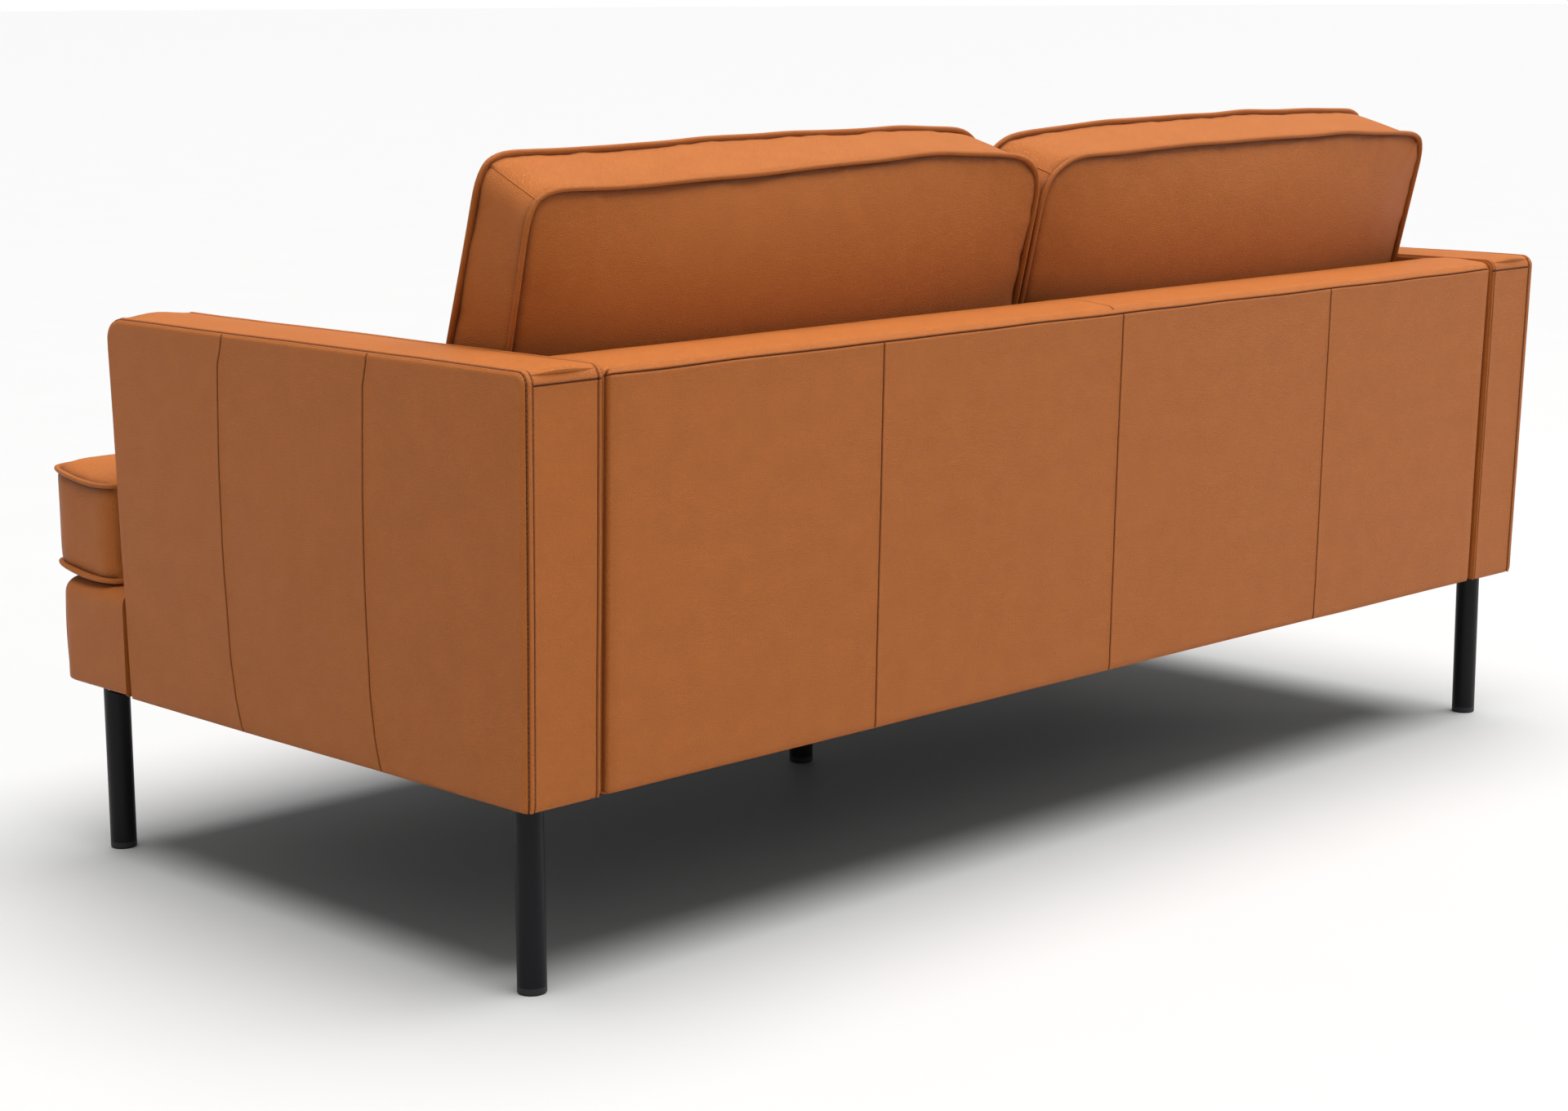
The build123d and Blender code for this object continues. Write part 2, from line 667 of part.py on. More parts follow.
def back_cushion_solid(side, inset):
    """Leaning cushion with rounded edges, cut level where it sits on the seat cushion."""
    rear = BACK_CUSHION_REAR + inset
    front = BACK_CUSHION_FRONT - inset
    top = BACK_CUSHION_TOP - inset
    bottom = BACK_CUSHION_BOTTOM + inset

    def point(forward, up, radius):
        y = LEAN_Y - forward * math.cos(LEAN) + up * math.sin(LEAN)
        z = LEAN_Z + forward * math.sin(LEAN) + up * math.cos(LEAN)
        return (y, z, radius)

    profile = [
        (lean_y(bottom, -rear), bottom, 20 - inset),
        (lean_y(bottom, -front), bottom, 28 - inset),
        point(front, top, 34 - inset),
        point(rear, top, 30 - inset),
    ]
    width = mirror_range(side, BACK_CUSHION_INNER + inset, BACK_CUSHION_OUTER - inset)
    solid = side_prism(profile, width)
    low, high = width
    round_top = BACK_TOP_CORNER - inset
    foot = -2 * top
    face = [(low, foot, 0), (high, foot, 0), (high, top, round_top), (low, top, round_top)]
    plane = lean_plane()
    upright = plane.offset(rear - CUT) * outline(face)
    return solid & extrude(upright, front - rear + 2 * CUT, dir=plane.z_dir)


def seat_cushion_nodes(name, side):
    """Loose seat cushion: cover, foam core, and the zipper in its rear band."""
    middle = (SEAT_BOTTOM + SEAT_TOP) / 2
    rear_face = Pos(side * (SEAT_GAP + SEAT_SIDE) / 2, SEAT_REAR, middle) * Rot(-90, 0, 0)
    outer = seat_cushion_solid(side, 0)
    core = seat_cushion_solid(side, CUSHION_WALL)
    return {
        "seat_cushion_" + name + "_cover": outer - core - rear_face * zipper_pocket(SEAT_ZIPPER),
        "seat_cushion_" + name + "_core": core,
        "seat_cushion_" + name + "_zipper": rear_face * zipper(SEAT_ZIPPER),
    }


def back_cushion_nodes(name, side):
    """Loose back cushion: cover, core, and the zipper in its underside."""
    middle_x = side * (BACK_CUSHION_INNER + BACK_CUSHION_OUTER) / 2
    middle_y = lean_y(BACK_CUSHION_BOTTOM, -(BACK_CUSHION_REAR + BACK_CUSHION_FRONT) / 2)
    underside = Pos(middle_x, middle_y, BACK_CUSHION_BOTTOM) * Rot(180, 0, 0)
    outer = back_cushion_solid(side, 0)
    core = back_cushion_solid(side, CUSHION_WALL)
    return {
        "back_cushion_" + name + "_cover": outer - core - underside * zipper_pocket(BACK_ZIPPER),
        "back_cushion_" + name + "_core": core,
        "back_cushion_" + name + "_zipper": underside * zipper(BACK_ZIPPER),
    }


# ---- Assembly --------------------------------------------------------------------------------

def all_nodes():
    nodes = {}
    nodes.update(leg_nodes())
    nodes.update(seat_nodes())
    nodes.update(back_nodes())
    nodes["frame_screws"] = frame_screws()
    for name, side in SIDES.items():
        nodes.update(arm_nodes(name, side))
        nodes.update(seat_cushion_nodes(name, side))
        nodes.update(back_cushion_nodes(name, side))
    return nodes


os.makedirs("parts", exist_ok=True)
for node, shape in all_nodes().items():
    export_step(shape, os.path.join("parts", node + ".step"))
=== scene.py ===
import json
import math

import bpy
import numpy as np
from mathutils import Matrix, Vector, noise


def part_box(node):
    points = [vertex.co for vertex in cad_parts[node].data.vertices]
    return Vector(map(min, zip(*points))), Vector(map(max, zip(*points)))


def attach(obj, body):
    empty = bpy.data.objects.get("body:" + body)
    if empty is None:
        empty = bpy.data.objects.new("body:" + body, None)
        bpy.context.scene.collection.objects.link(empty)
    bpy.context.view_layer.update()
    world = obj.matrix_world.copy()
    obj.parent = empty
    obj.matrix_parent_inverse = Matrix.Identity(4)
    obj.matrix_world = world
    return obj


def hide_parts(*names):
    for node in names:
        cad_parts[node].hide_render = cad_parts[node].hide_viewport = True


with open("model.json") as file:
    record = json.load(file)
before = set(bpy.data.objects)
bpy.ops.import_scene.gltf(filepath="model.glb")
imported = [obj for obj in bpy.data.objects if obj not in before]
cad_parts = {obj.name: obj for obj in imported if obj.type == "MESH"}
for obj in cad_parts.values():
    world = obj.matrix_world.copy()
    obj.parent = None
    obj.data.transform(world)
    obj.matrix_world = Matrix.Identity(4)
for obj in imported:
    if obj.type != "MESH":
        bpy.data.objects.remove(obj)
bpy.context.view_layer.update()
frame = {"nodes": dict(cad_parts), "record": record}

# ---- Places and sizes, in metres, from the frame ----

ARM_LOW, ARM_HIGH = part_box("arm_left_cover")
BACK_LOW, BACK_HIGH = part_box("back_cover")
RAIL_LOW, RAIL_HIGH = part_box("front_rail_cover")
SEAT_LOW, SEAT_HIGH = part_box("seat_cushion_left_cover")
REST_LOW, REST_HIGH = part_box("back_cushion_left_cover")
DUST_LOW, DUST_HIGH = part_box("dust_cover")
DECK_LOW, DECK_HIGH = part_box("deck_cloth")

HEM = ARM_LOW.z
ARM_TOP = ARM_HIGH.z
BODY_HEIGHT = ARM_TOP - HEM
REAR_LOW = 0.4535                # rear face at the hem
REAR_HIGH = 0.468                # rear face at the top of the arms
ARM_FRONT_LOW = -0.288           # front edge of an arm at the hem
ARM_FRONT_HIGH = -0.300          # the same at its top
LEAN = math.radians(14.0)        # back cushions lean back this far
LEAN_Y = 0.308                   # plane of their rear piping, at LEAN_Z
LEAN_Z = 0.665
BACKREST_SET_BACK = 0.040        # inner face of the backrest, behind that plane
BACKREST_FOOT = 0.2694           # where the inner face meets the seat deck
ARM_FLARE = 0.004                # the outer face of an arm spreads a little upwards

LEGS = ["leg_centre", "leg_front_left", "leg_front_right", "leg_rear_left", "leg_rear_right"]
NOT_ZERO = 1e-9
ON_FACE = 1e-6                   # closer than this to a side of a slab is on it
UP_LEAN = Vector((0, math.sin(LEAN), math.cos(LEAN)))
OUT_LEAN = Vector((0, -math.cos(LEAN), math.sin(LEAN)))


def smooth(t):
    """Eased step from 0 to 1."""
    t = np.clip(t, 0.0, 1.0)
    return t * t * (3.0 - 2.0 * t)


def rear_y(z):
    """Y of the rear face at a height."""
    return REAR_LOW + (REAR_HIGH - REAR_LOW) * (z - HEM) / BODY_HEIGHT


def arm_front_y(z):
    """Y of an arm's front edge at a height."""
    return ARM_FRONT_LOW + (ARM_FRONT_HIGH - ARM_FRONT_LOW) * (z - HEM) / BODY_HEIGHT


def lean_y(z, set_back):
    """Y of a leaning plane at a height."""
    return LEAN_Y + set_back / math.cos(LEAN) + (z - LEAN_Z) * math.tan(LEAN)


def waves(x, y, z, scale, seed):
    """Smooth noise, about -1 to 1, at each point."""
    shift = Vector((seed * 7.31, seed * 3.17, seed * 5.71))
    points = np.stack([x, y, z], -1) / scale
    return np.array([noise.noise(Vector(p) + shift) for p in points])


def unevenness(world, scales, seed):
    """Slight waviness of leather over padding: a broad one and a finer one."""
    (broad_height, broad_scale), (fine_height, fine_scale) = scales
    broad = broad_height * waves(*world.T, broad_scale, seed)
    return broad + fine_height * waves(*world.T, fine_scale, seed + 1)


# ---- Mesh building ----

CLOSEST_LINES = 0.00035          # grid lines closer together than this are merged
CUSHION_EDGE = (0.0, 0.004, 0.009)
EDGE_STEPS = (0.0, 0.0008, 0.0018, 0.003, 0.0045, 0.0065, 0.009, 0.012)
SEAM_STEPS = (0.0, 0.0005, 0.001, 0.0017, 0.0028, 0.0045, 0.0075)


def grid_lines(length, seams=(), step=0.014, edges=EDGE_STEPS):
    """Positions along one side: close together at the edges and seams, even between them."""
    marks = {0.0, length, *edges, *(length - s for s in edges)}
    for seam in seams:
        marks.update(seam + sign * s for s in SEAM_STEPS for sign in (-1, 1))
    marks = sorted(m for m in marks if -1e-9 <= m <= length + 1e-9)
    kept = [marks[0]]
    for mark in marks[1:]:
        if mark - kept[-1] > CLOSEST_LINES:
            count = max(1, math.ceil((mark - kept[-1]) / step))
            start = kept[-1]
            kept += [start + (mark - start) * (i + 1) / count for i in range(count)]
    kept[-1] = length
    return np.array(kept)


def slab(us, vs, ws, keep=None):
    """Skin of a slab on a grid: points (u, v, w), faces, and the outline's cells in order.

    Two panels lie at the first and last w, and a band joins them round the outline.
    """
    cells = np.ones((len(us) - 1, len(vs) - 1), bool)
    if keep is not None:
        mid_u = (us[1:] + us[:-1]) / 2
        mid_v = (vs[1:] + vs[:-1]) / 2
        cells = np.array([[keep(u, v) for v in mid_v] for u in mid_u])
    index, points, faces, edges = {}, [], [], {}
    last = len(ws) - 1

    def point(i, j, k):
        if (i, j, k) not in index:
            index[i, j, k] = len(points)
            points.append((us[i], vs[j], ws[k]))
        return index[i, j, k]

    def filled(i, j):
        return 0 <= i < cells.shape[0] and 0 <= j < cells.shape[1] and cells[i, j]

    for i in range(cells.shape[0]):
        for j in range(cells.shape[1]):
            if not cells[i, j]:
                continue
            ring = [(i, j), (i + 1, j), (i + 1, j + 1), (i, j + 1)]
            faces.append([point(a, b, last) for a, b in ring])
            faces.append([point(a, b, 0) for a, b in reversed(ring)])
            sides = [(i, j - 1), (i + 1, j), (i, j + 1), (i - 1, j)]
            for side, beside in enumerate(sides):
                if not filled(*beside):
                    edges[ring[side]] = ring[(side + 1) % 4]
    for start, end in edges.items():
        for k in range(last):
            faces.append([point(*start, k), point(*end, k), point(*end, k + 1), point(*start, k + 1)])
    rim = [next(iter(edges))]
    while edges[rim[-1]] != rim[0]:
        rim.append(edges[rim[-1]])
    rims = [[index[i, j, k] for i, j in rim] for k in (0, last)]
    return np.array(points), faces, rims


def round_corners(u, v, corners):
    """Rounds square corners, each (u, v, radius, side of u, side of v)."""
    u, v = u.copy(), v.copy()
    for corner_u, corner_v, radius, side_u, side_v in corners:
        du = side_u * (u - corner_u) + radius
        dv = side_v * (v - corner_v) + radius
        near = (du > 0) & (dv > 0) & (du < radius * 1.001) & (dv < radius * 1.001)
        scale = np.maximum(du, dv) / np.maximum(np.hypot(du, dv), NOT_ZERO)
        u[near] = (corner_u - side_u * radius + side_u * du * scale)[near]
        v[near] = (corner_v - side_v * radius + side_v * dv * scale)[near]
    return u, v


def round_edges(points, sizes, radii, sides, reach):
    """Rounds the edges between the panels and the band, along some sides of the outline.

    sides holds any of "u0", "u1", "v0" and "v1". radii are for the edges at the first and
    the last w. Near a corner, within reach, both its sides give way.
    """
    u, v, w = points.T.copy()
    length, height, width = sizes
    away = {"u0": u.copy(), "u1": length - u, "v0": v.copy(), "v1": height - v}
    inward = np.minimum.reduce([away[side] for side in sides])
    radius = np.where(w < width / 2, radii[0], radii[1])
    deep = np.minimum(w, width - w)
    du, dw = radius - inward, radius - deep
    near = (du > 0) & (dw > 0)
    scale = np.maximum(du, dw) / np.maximum(np.hypot(du, dw), NOT_ZERO)
    shift = np.where(near, du * (1 - scale), 0.0)
    lift = np.where(near, dw * (1 - scale), 0.0)
    for side in sides:
        share = np.clip(1 - (away[side] - inward) / reach, 0, 1) * shift
        if side[0] == "u":
            u += share if side == "u0" else -share
        else:
            v += share if side == "v0" else -share
    w = w + np.where(w < width / 2, lift, -lift)
    return np.stack([u, v, w], 1)


def normals(points, faces):
    """Normal at each point."""
    quads = np.array(faces)
    a, b, c, d = (points[quads[:, k]] for k in range(4))
    face_normals = np.cross(c - a, d - b)
    out = np.zeros_like(points)
    for k in range(4):
        np.add.at(out, quads[:, k], face_normals)
    return out / np.maximum(np.linalg.norm(out, axis=1, keepdims=True), 1e-12)


def facing_out(points, faces, axis, outward):
    """Faces turned to agree with outward along an axis, and the normals of their points."""
    direction = normals(points, faces)
    if (direction[:, axis] * outward).sum() < 0:
        return [face[::-1] for face in faces], -direction
    return faces, direction


def mesh_object(name, points, faces, material, seam=None):
    """New smooth-shaded object; seam is painted shade, 0 to 1, that darkens its material's colour in
    the creases along seams and piping.
    """
    mesh = bpy.data.meshes.new(name)
    mesh.from_pydata([tuple(p) for p in points], [], [list(f) for f in faces])
    mesh.update()
    mesh.polygons.foreach_set("use_smooth", [True] * len(mesh.polygons))
    mesh.materials.append(material)
    if seam is not None:
        # The seam attribute is painted shade: the leather material darkens its colour by it where
        # seams and piping lie in shade.
        mesh.attributes.new("seam", "FLOAT", "POINT").data.foreach_set("value", np.clip(seam, 0, 1))
    piece = bpy.data.objects.new(name, mesh)
    bpy.context.scene.collection.objects.link(piece)
    return piece


def fade(distance, width):
    """1 at a line, and falling away to nothing over a few widths."""
    return np.exp(-((distance / width) ** 2))


def painted_line_shade(distance):
    """Painted shade beside a seam, 0 to 1: how far the leather's colour is darkened in the seam's
    crease.
    """
    return fade(distance, 0.0012)


def groove(distance, depth, width):
    """A seam: a narrow valley with slightly swollen lips."""
    lips = 0.16 * depth * fade(np.abs(distance) - 4.0 * width, 2.2 * width)
    return lips - depth * fade(distance, width)


def cover(name, points, faces, seam, nodes, body="frame"):
    """Padded leather in place of CAD nodes; seam is its painted shade along seams and piping."""
    piece = mesh_object(name, points, faces, LEATHER, seam)
    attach(piece, body)
    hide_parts(*nodes)


def tube(name, line, radius, material, tail=None, closed=True, sides=12):
    """Cord along a line of points, such as piping; tail reaches from it back to its seam."""
    line = np.array(line, float)
    count = len(line)
    if closed:
        ahead, behind = np.roll(line, -1, 0), np.roll(line, 1, 0)
    else:
        ahead = np.vstack([line[1:], line[-1:] * 2 - line[-2:-1]])
        behind = np.vstack([line[:1] * 2 - line[1:2], line[:-1]])
    along = ahead - behind
    along /= np.linalg.norm(along, axis=1, keepdims=True)
    side = np.cross(along[0], (0.31, 0.22, 0.93))
    rings = []
    for k in range(count):
        side = side - along[k] * side.dot(along[k])
        side /= np.linalg.norm(side)
        other = np.cross(along[k], side)
        turns = [2 * math.pi * t / sides for t in range(sides)]
        ring = np.array([math.cos(t) * side + math.sin(t) * other for t in turns])
        if tail is None:
            rings.append(line[k] + radius * ring)
        else:
            facing = np.clip(ring @ tail[k] / np.linalg.norm(tail[k]), 0, 1) ** 8
            rings.append(line[k] + radius * ring + facing[:, None] * tail[k])
    points = np.array(rings).reshape(-1, 3)
    spans = count if closed else count - 1
    faces = []
    twist = 0
    if closed:
        gaps = [np.linalg.norm(rings[0][t] - rings[-1][0]) for t in range(sides)]
        twist = int(np.argmin(gaps))
    for k in range(spans):
        step = twist if k == count - 1 else 0
        a, b = k * sides, ((k + 1) % count) * sides
        for t in range(sides):
            n = (t + 1) % sides
            faces.append([a + t, a + n, b + (n + step) % sides, b + (t + step) % sides])
    if not closed:
        faces.append(list(range(sides))[::-1])
        faces.append([spans * sides + t for t in range(sides)])
    return mesh_object(name, points, faces, material)


def stitches(name, line, up, material, pitch=0.0052, length=0.0034, radius=0.00042):
    """Row of short raised thread stitches along a line; up is the surface normal at each point."""
    line, up = np.array(line, float), np.array(up, float)
    steps = np.r_[0, np.cumsum(np.linalg.norm(np.diff(line, axis=0), axis=1))]
    places = np.arange(pitch, steps[-1] - pitch, pitch)
    points, faces = [], []
    for place in places:
        ends = [np.array([np.interp(place + s * length / 2, steps, line[:, a]) for a in range(3)])
                for s in (-1, 1)]
        normal = np.array([np.interp(place, steps, up[:, a]) for a in range(3)])
        along = (ends[1] - ends[0]) / np.linalg.norm(ends[1] - ends[0])
        side = np.cross(normal, along)
        side /= np.linalg.norm(side)
        base = len(points)
        for share, size in ((0.0, 0.45), (0.25, 1.0), (0.75, 1.0), (1.0, 0.45)):
            middle = ends[0] + (ends[1] - ends[0]) * share
            for turn in range(6):
                angle = turn * math.pi / 3
                offset = math.cos(angle) * side + math.sin(angle) * normal
                points.append(middle + radius * size * offset)
        for ring in range(3):
            for turn in range(6):
                a, b = base + ring * 6 + turn, base + ring * 6 + (turn + 1) % 6
                faces.append([a, b, b + 6, a + 6])
        faces.append([base + t for t in range(5, -1, -1)])
        faces.append([base + 18 + t for t in range(6)])
    return mesh_object(name, points, faces, material)


# ---- Materials ----

def put(node, values):
    """Sets sockets of a node to plain values."""
    for socket, value in values.items():
        node.inputs[socket].default_value = value


def shader(name, roughness, metallic=0.0):
    """New material with its node tree, principled shader and object coordinates."""
    material = bpy.data.materials.new(name)
    material.use_nodes = True
    tree = material.node_tree
    principled = tree.nodes["Principled BSDF"]
    put(principled, {"Roughness": roughness, "Metallic": metallic})
    place = tree.nodes.new("ShaderNodeTexCoord").outputs["Object"]
    return material, tree, principled, place


def noise_node(tree, place, scale, detail=3.0, rough=0.55, stretch=(1, 1, 1)):
    mapping = tree.nodes.new("ShaderNodeMapping")
    put(mapping, {"Scale": stretch})
    tree.links.new(place, mapping.inputs["Vector"])
    node = tree.nodes.new("ShaderNodeTexNoise")
    put(node, {"Scale": scale, "Detail": detail, "Roughness": rough})
    tree.links.new(mapping.outputs["Vector"], node.inputs["Vector"])
    return node.outputs["Fac"]


def ramp(tree, value, low, high, dark, light):
    node = tree.nodes.new("ShaderNodeValToRGB")
    node.color_ramp.elements[0].position = low
    node.color_ramp.elements[0].color = (*dark, 1)
    node.color_ramp.elements[1].position = high
    node.color_ramp.elements[1].color = (*light, 1)
    tree.links.new(value, node.inputs["Fac"])
    return node.outputs["Color"]


def to_range(tree, value, low, high):
    node = tree.nodes.new("ShaderNodeMapRange")
    put(node, {"To Min": low, "To Max": high})
    tree.links.new(value, node.inputs["Value"])
    return node.outputs["Result"]


def bump(tree, height, distance, strength, under=None):
    node = tree.nodes.new("ShaderNodeBump")
    put(node, {"Distance": distance, "Strength": strength})
    tree.links.new(height, node.inputs["Height"])
    if under is not None:
        tree.links.new(under, node.inputs["Normal"])
    return node.outputs["Normal"]


def leather_material(name, tone=1.0, roughness=0.42):
    """Smooth tan leather: pebbled grain with pores, faint mottling and uneven gloss, with painted
    shade from the seam attribute that darkens the colour in the creases of seams and piping.
    """
    material, tree, principled, place = shader(name, roughness)
    mottle = noise_node(tree, place, 26.0, 5.0, 0.65)
    dark = tuple(tone * c for c in (0.398, 0.112, 0.0165))
    light = tuple(tone * c for c in (0.432, 0.124, 0.0190))
    # Painted shade: the seam attribute mixes the colour towards a dark brown in the creases beside
    # seams and piping.
    painted_seam_shade = tree.nodes.new("ShaderNodeAttribute")
    painted_seam_shade.attribute_name = "seam"
    painted_shade_mix = tree.nodes.new("ShaderNodeMix")
    painted_shade_mix.data_type = "RGBA"
    tree.links.new(painted_seam_shade.outputs["Fac"], painted_shade_mix.inputs["Factor"])
    tree.links.new(ramp(tree, mottle, 0.3, 0.7, dark, light), painted_shade_mix.inputs["A"])
    put(painted_shade_mix, {"B": (0.115, 0.030, 0.009, 1)})
    tree.links.new(painted_shade_mix.outputs["Result"], principled.inputs["Base Color"])
    cells = tree.nodes.new("ShaderNodeTexVoronoi")
    cells.feature = "DISTANCE_TO_EDGE"
    put(cells, {"Scale": 620.0})
    tree.links.new(place, cells.inputs["Vector"])
    pores = noise_node(tree, place, 1400.0, 2.0)
    creases = noise_node(tree, place, 60.0, 5.0, 0.62)
    first = bump(tree, to_range(tree, cells.outputs["Distance"], 0.0, 6.0), 0.0005, 0.60)
    second = bump(tree, pores, 0.0002, 0.35, first)
    third = bump(tree, creases, 0.0008, 0.20, second)
    tree.links.new(third, principled.inputs["Normal"])
    gloss = noise_node(tree, place, 35.0, 4.0)
    spread = to_range(tree, gloss, roughness - 0.05, roughness + 0.07)
    tree.links.new(spread, principled.inputs["Roughness"])
    put(principled, {
        "Specular IOR Level": 0.18, "Sheen Weight": 0.05, "Sheen Roughness": 0.45,
        "Sheen Tint": (1.0, 0.80, 0.60, 1.0)
    })
    return material


def thread_material():
    material, tree, principled, place = shader("leather_thread", 0.7)
    twist = noise_node(tree, place, 900.0, 2.0)
    colour = ramp(tree, twist, 0.3, 0.7, (0.13, 0.040, 0.012), (0.24, 0.082, 0.027))
    tree.links.new(colour, principled.inputs["Base Color"])
    tree.links.new(bump(tree, twist, 0.0003, 0.4), principled.inputs["Normal"])
    return material


def plain_material(name, dark, light, roughness, scale, depth, metallic=0.0,
                   stretch=(1, 1, 1), specular=0.5):
    """Procedural finish: two tones by noise, with matching relief."""
    material, tree, principled, place = shader(name, roughness, metallic)
    grain = noise_node(tree, place, scale, 5.0, 0.6, stretch)
    broad = noise_node(tree, place, scale / 9, 2.0, 0.5, stretch)
    colour = ramp(tree, grain, 0.32, 0.68, dark, light)
    mix = tree.nodes.new("ShaderNodeMix")
    mix.data_type = "RGBA"
    mix.blend_type = "MULTIPLY"
    put(mix, {"Factor": 0.35})
    tree.links.new(colour, mix.inputs["A"])
    tree.links.new(ramp(tree, broad, 0.3, 0.7, (0.7, 0.7, 0.7), (1, 1, 1)), mix.inputs["B"])
    tree.links.new(mix.outputs["Result"], principled.inputs["Base Color"])
    tree.links.new(bump(tree, grain, depth, 0.5), principled.inputs["Normal"])
    put(principled, {"Specular IOR Level": specular})
    spread = to_range(tree, broad, max(roughness - 0.06, 0.05), min(roughness + 0.08, 1.0))
    tree.links.new(spread, principled.inputs["Roughness"])
    return material


LEATHER = leather_material("tan_leather")
WELT_LEATHER = leather_material("tan_leather_piping", 0.96, 0.40)
THREAD = thread_material()
BLACK_CLOTH = plain_material(
    "black_nonwoven", (0.006, 0.006, 0.006), (0.022, 0.022, 0.023), 0.85, 700.0, 0.0004)

FINISHES = [    # slot, name, dark and light tone, roughness, grain scale and relief, metallic
    ("leg_steel", "black_powder_coat", (0.004, 0.0038, 0.005), (0.008, 0.0075, 0.010),
     0.40, 900.0, 0.00006, 0.0),
    ("glide_plastic", "black_glide", (0.006,) * 3, (0.012,) * 3, 0.55, 500.0, 0.0001, 0.0),
    ("zinc_steel", "zinc_plate", (0.50, 0.50, 0.52), (0.66, 0.66, 0.68), 0.34, 300.0, 0.00005, 1.0),
    ("spring_steel", "oiled_spring_wire", (0.16, 0.15, 0.15), (0.30, 0.30, 0.31),
     0.30, 250.0, 0.00005, 1.0),
    ("zipper", "zipper_tape", (0.10, 0.040, 0.016), (0.19, 0.08, 0.032), 0.8, 900.0, 0.0003, 0.0),
    ("foam", "foam", (0.60, 0.56, 0.43), (0.74, 0.71, 0.60), 0.9, 420.0, 0.0006, 0.0),
    ("felt", "needled_felt", (0.12, 0.12, 0.115), (0.24, 0.23, 0.22), 0.95, 300.0, 0.0012, 0.0),
    ("webbing", "elastic_webbing", (0.50, 0.46, 0.38), (0.70, 0.66, 0.58), 0.8, 600.0, 0.0006, 0.0),
    ("hardboard", "hardboard", (0.20, 0.115, 0.06), (0.30, 0.18, 0.10), 0.7, 260.0, 0.0002, 0.0),
    ("plywood", "plywood", (0.42, 0.27, 0.14), (0.62, 0.44, 0.25), 0.6, 40.0, 0.0003, 0.0),
    ("timber", "pine", (0.46, 0.29, 0.14), (0.68, 0.48, 0.27), 0.6, 34.0, 0.0004, 0.0),
]
STRETCHES = {"plywood": (1, 8, 1), "timber": (1, 7, 7)}
SLOT_FINISHES = {"black_cloth": BLACK_CLOTH, "leather": LEATHER}
for slot, *finish in FINISHES:
    SLOT_FINISHES[slot] = plain_material(
        *finish, STRETCHES.get(slot, (1, 1, 1)), 0.18 if slot == "leg_steel" else 0.5)


def dress_cad_nodes():
    """Gives each CAD node the finish of its slot."""
    for part in frame["record"]["subparts"]:
        node = frame["nodes"][part["node"]]
        finish = SLOT_FINISHES[part["material_slot"]]
        if not node.data.materials:
            node.data.materials.append(finish)
        for place in node.material_slots:
            place.material = finish


# ---- Arms ----

ARM_WIDTH = ARM_HIGH.x - ARM_LOW.x
ARM_LENGTH = rear_y(ARM_TOP) - arm_front_y(ARM_TOP)
ARM_SEAMS = (0.226, 0.498)       # from the front edge, at mid height
SEAM_HEIGHTS = (0.0, 0.01, 0.075, 0.175, 0.42, 0.67, 0.92, 0.975, 1.0)
SEAM_DRIFTS = (0.022, 0.019, 0.0105, 0.0035, -0.001, 0.0, 0.0055, 0.014, 0.015)
WELT_START = 0.0045
WELT_END = 0.0125
WELT_RISE = 0.0010
CROSS_SEAM_DROP = 0.0150
SEAM_DEPTH = 0.0022
SEAM_WIDTH = 0.00065
SEAM_PUCKER = 0.0002
SEAM_PUCKER_WIDTH = 0.015
INNER_BEAD = 0.0025              # of its middle, from the inner face of an arm
INNER_SEAM = 0.006               # beside that bead
HEM_TUCK = 0.0012                # how far the leather turns in at the hem
HEM_WIDTH = 0.013                # of what is folded under


def arm_seam_shift(u, height):
    """Moves the columns of the grid so that they follow the curved seams."""
    drift = np.interp(height, SEAM_HEIGHTS, SEAM_DRIFTS)
    first, second = ARM_SEAMS
    return drift * np.interp(u, [0, first, second, ARM_LENGTH], [0, 1, 0.8, 0])


def arm_place(points, side):
    """From arm coordinates (rearwards, up, outwards) to the row frame."""
    u, v, w = points.T
    z = HEM + v
    front, rear = arm_front_y(z), rear_y(z)
    y = front + (rear - front) * u / ARM_LENGTH
    flare = ARM_FLARE * (v / BODY_HEIGHT - 0.8) * np.clip(w / ARM_WIDTH, 0, 1)
    x = ARM_LOW.x + w + flare
    return np.stack([side * x, y, z], 1)


def arm_points(raw):
    """Rounds the arm's corners and edges."""
    sizes = (ARM_LENGTH, BODY_HEIGHT, ARM_WIDTH)
    points = round_edges(raw, sizes, (0.005, 0.0062), ("u0", "u1", "v1"), 0.014)
    corners = [(0.0, BODY_HEIGHT, 0.028, -1, 1), (ARM_LENGTH, BODY_HEIGHT, 0.014, 1, 1)]
    u, v = round_corners(points[:, 0], points[:, 1], corners)
    return np.stack([u, v, points[:, 2]], 1)


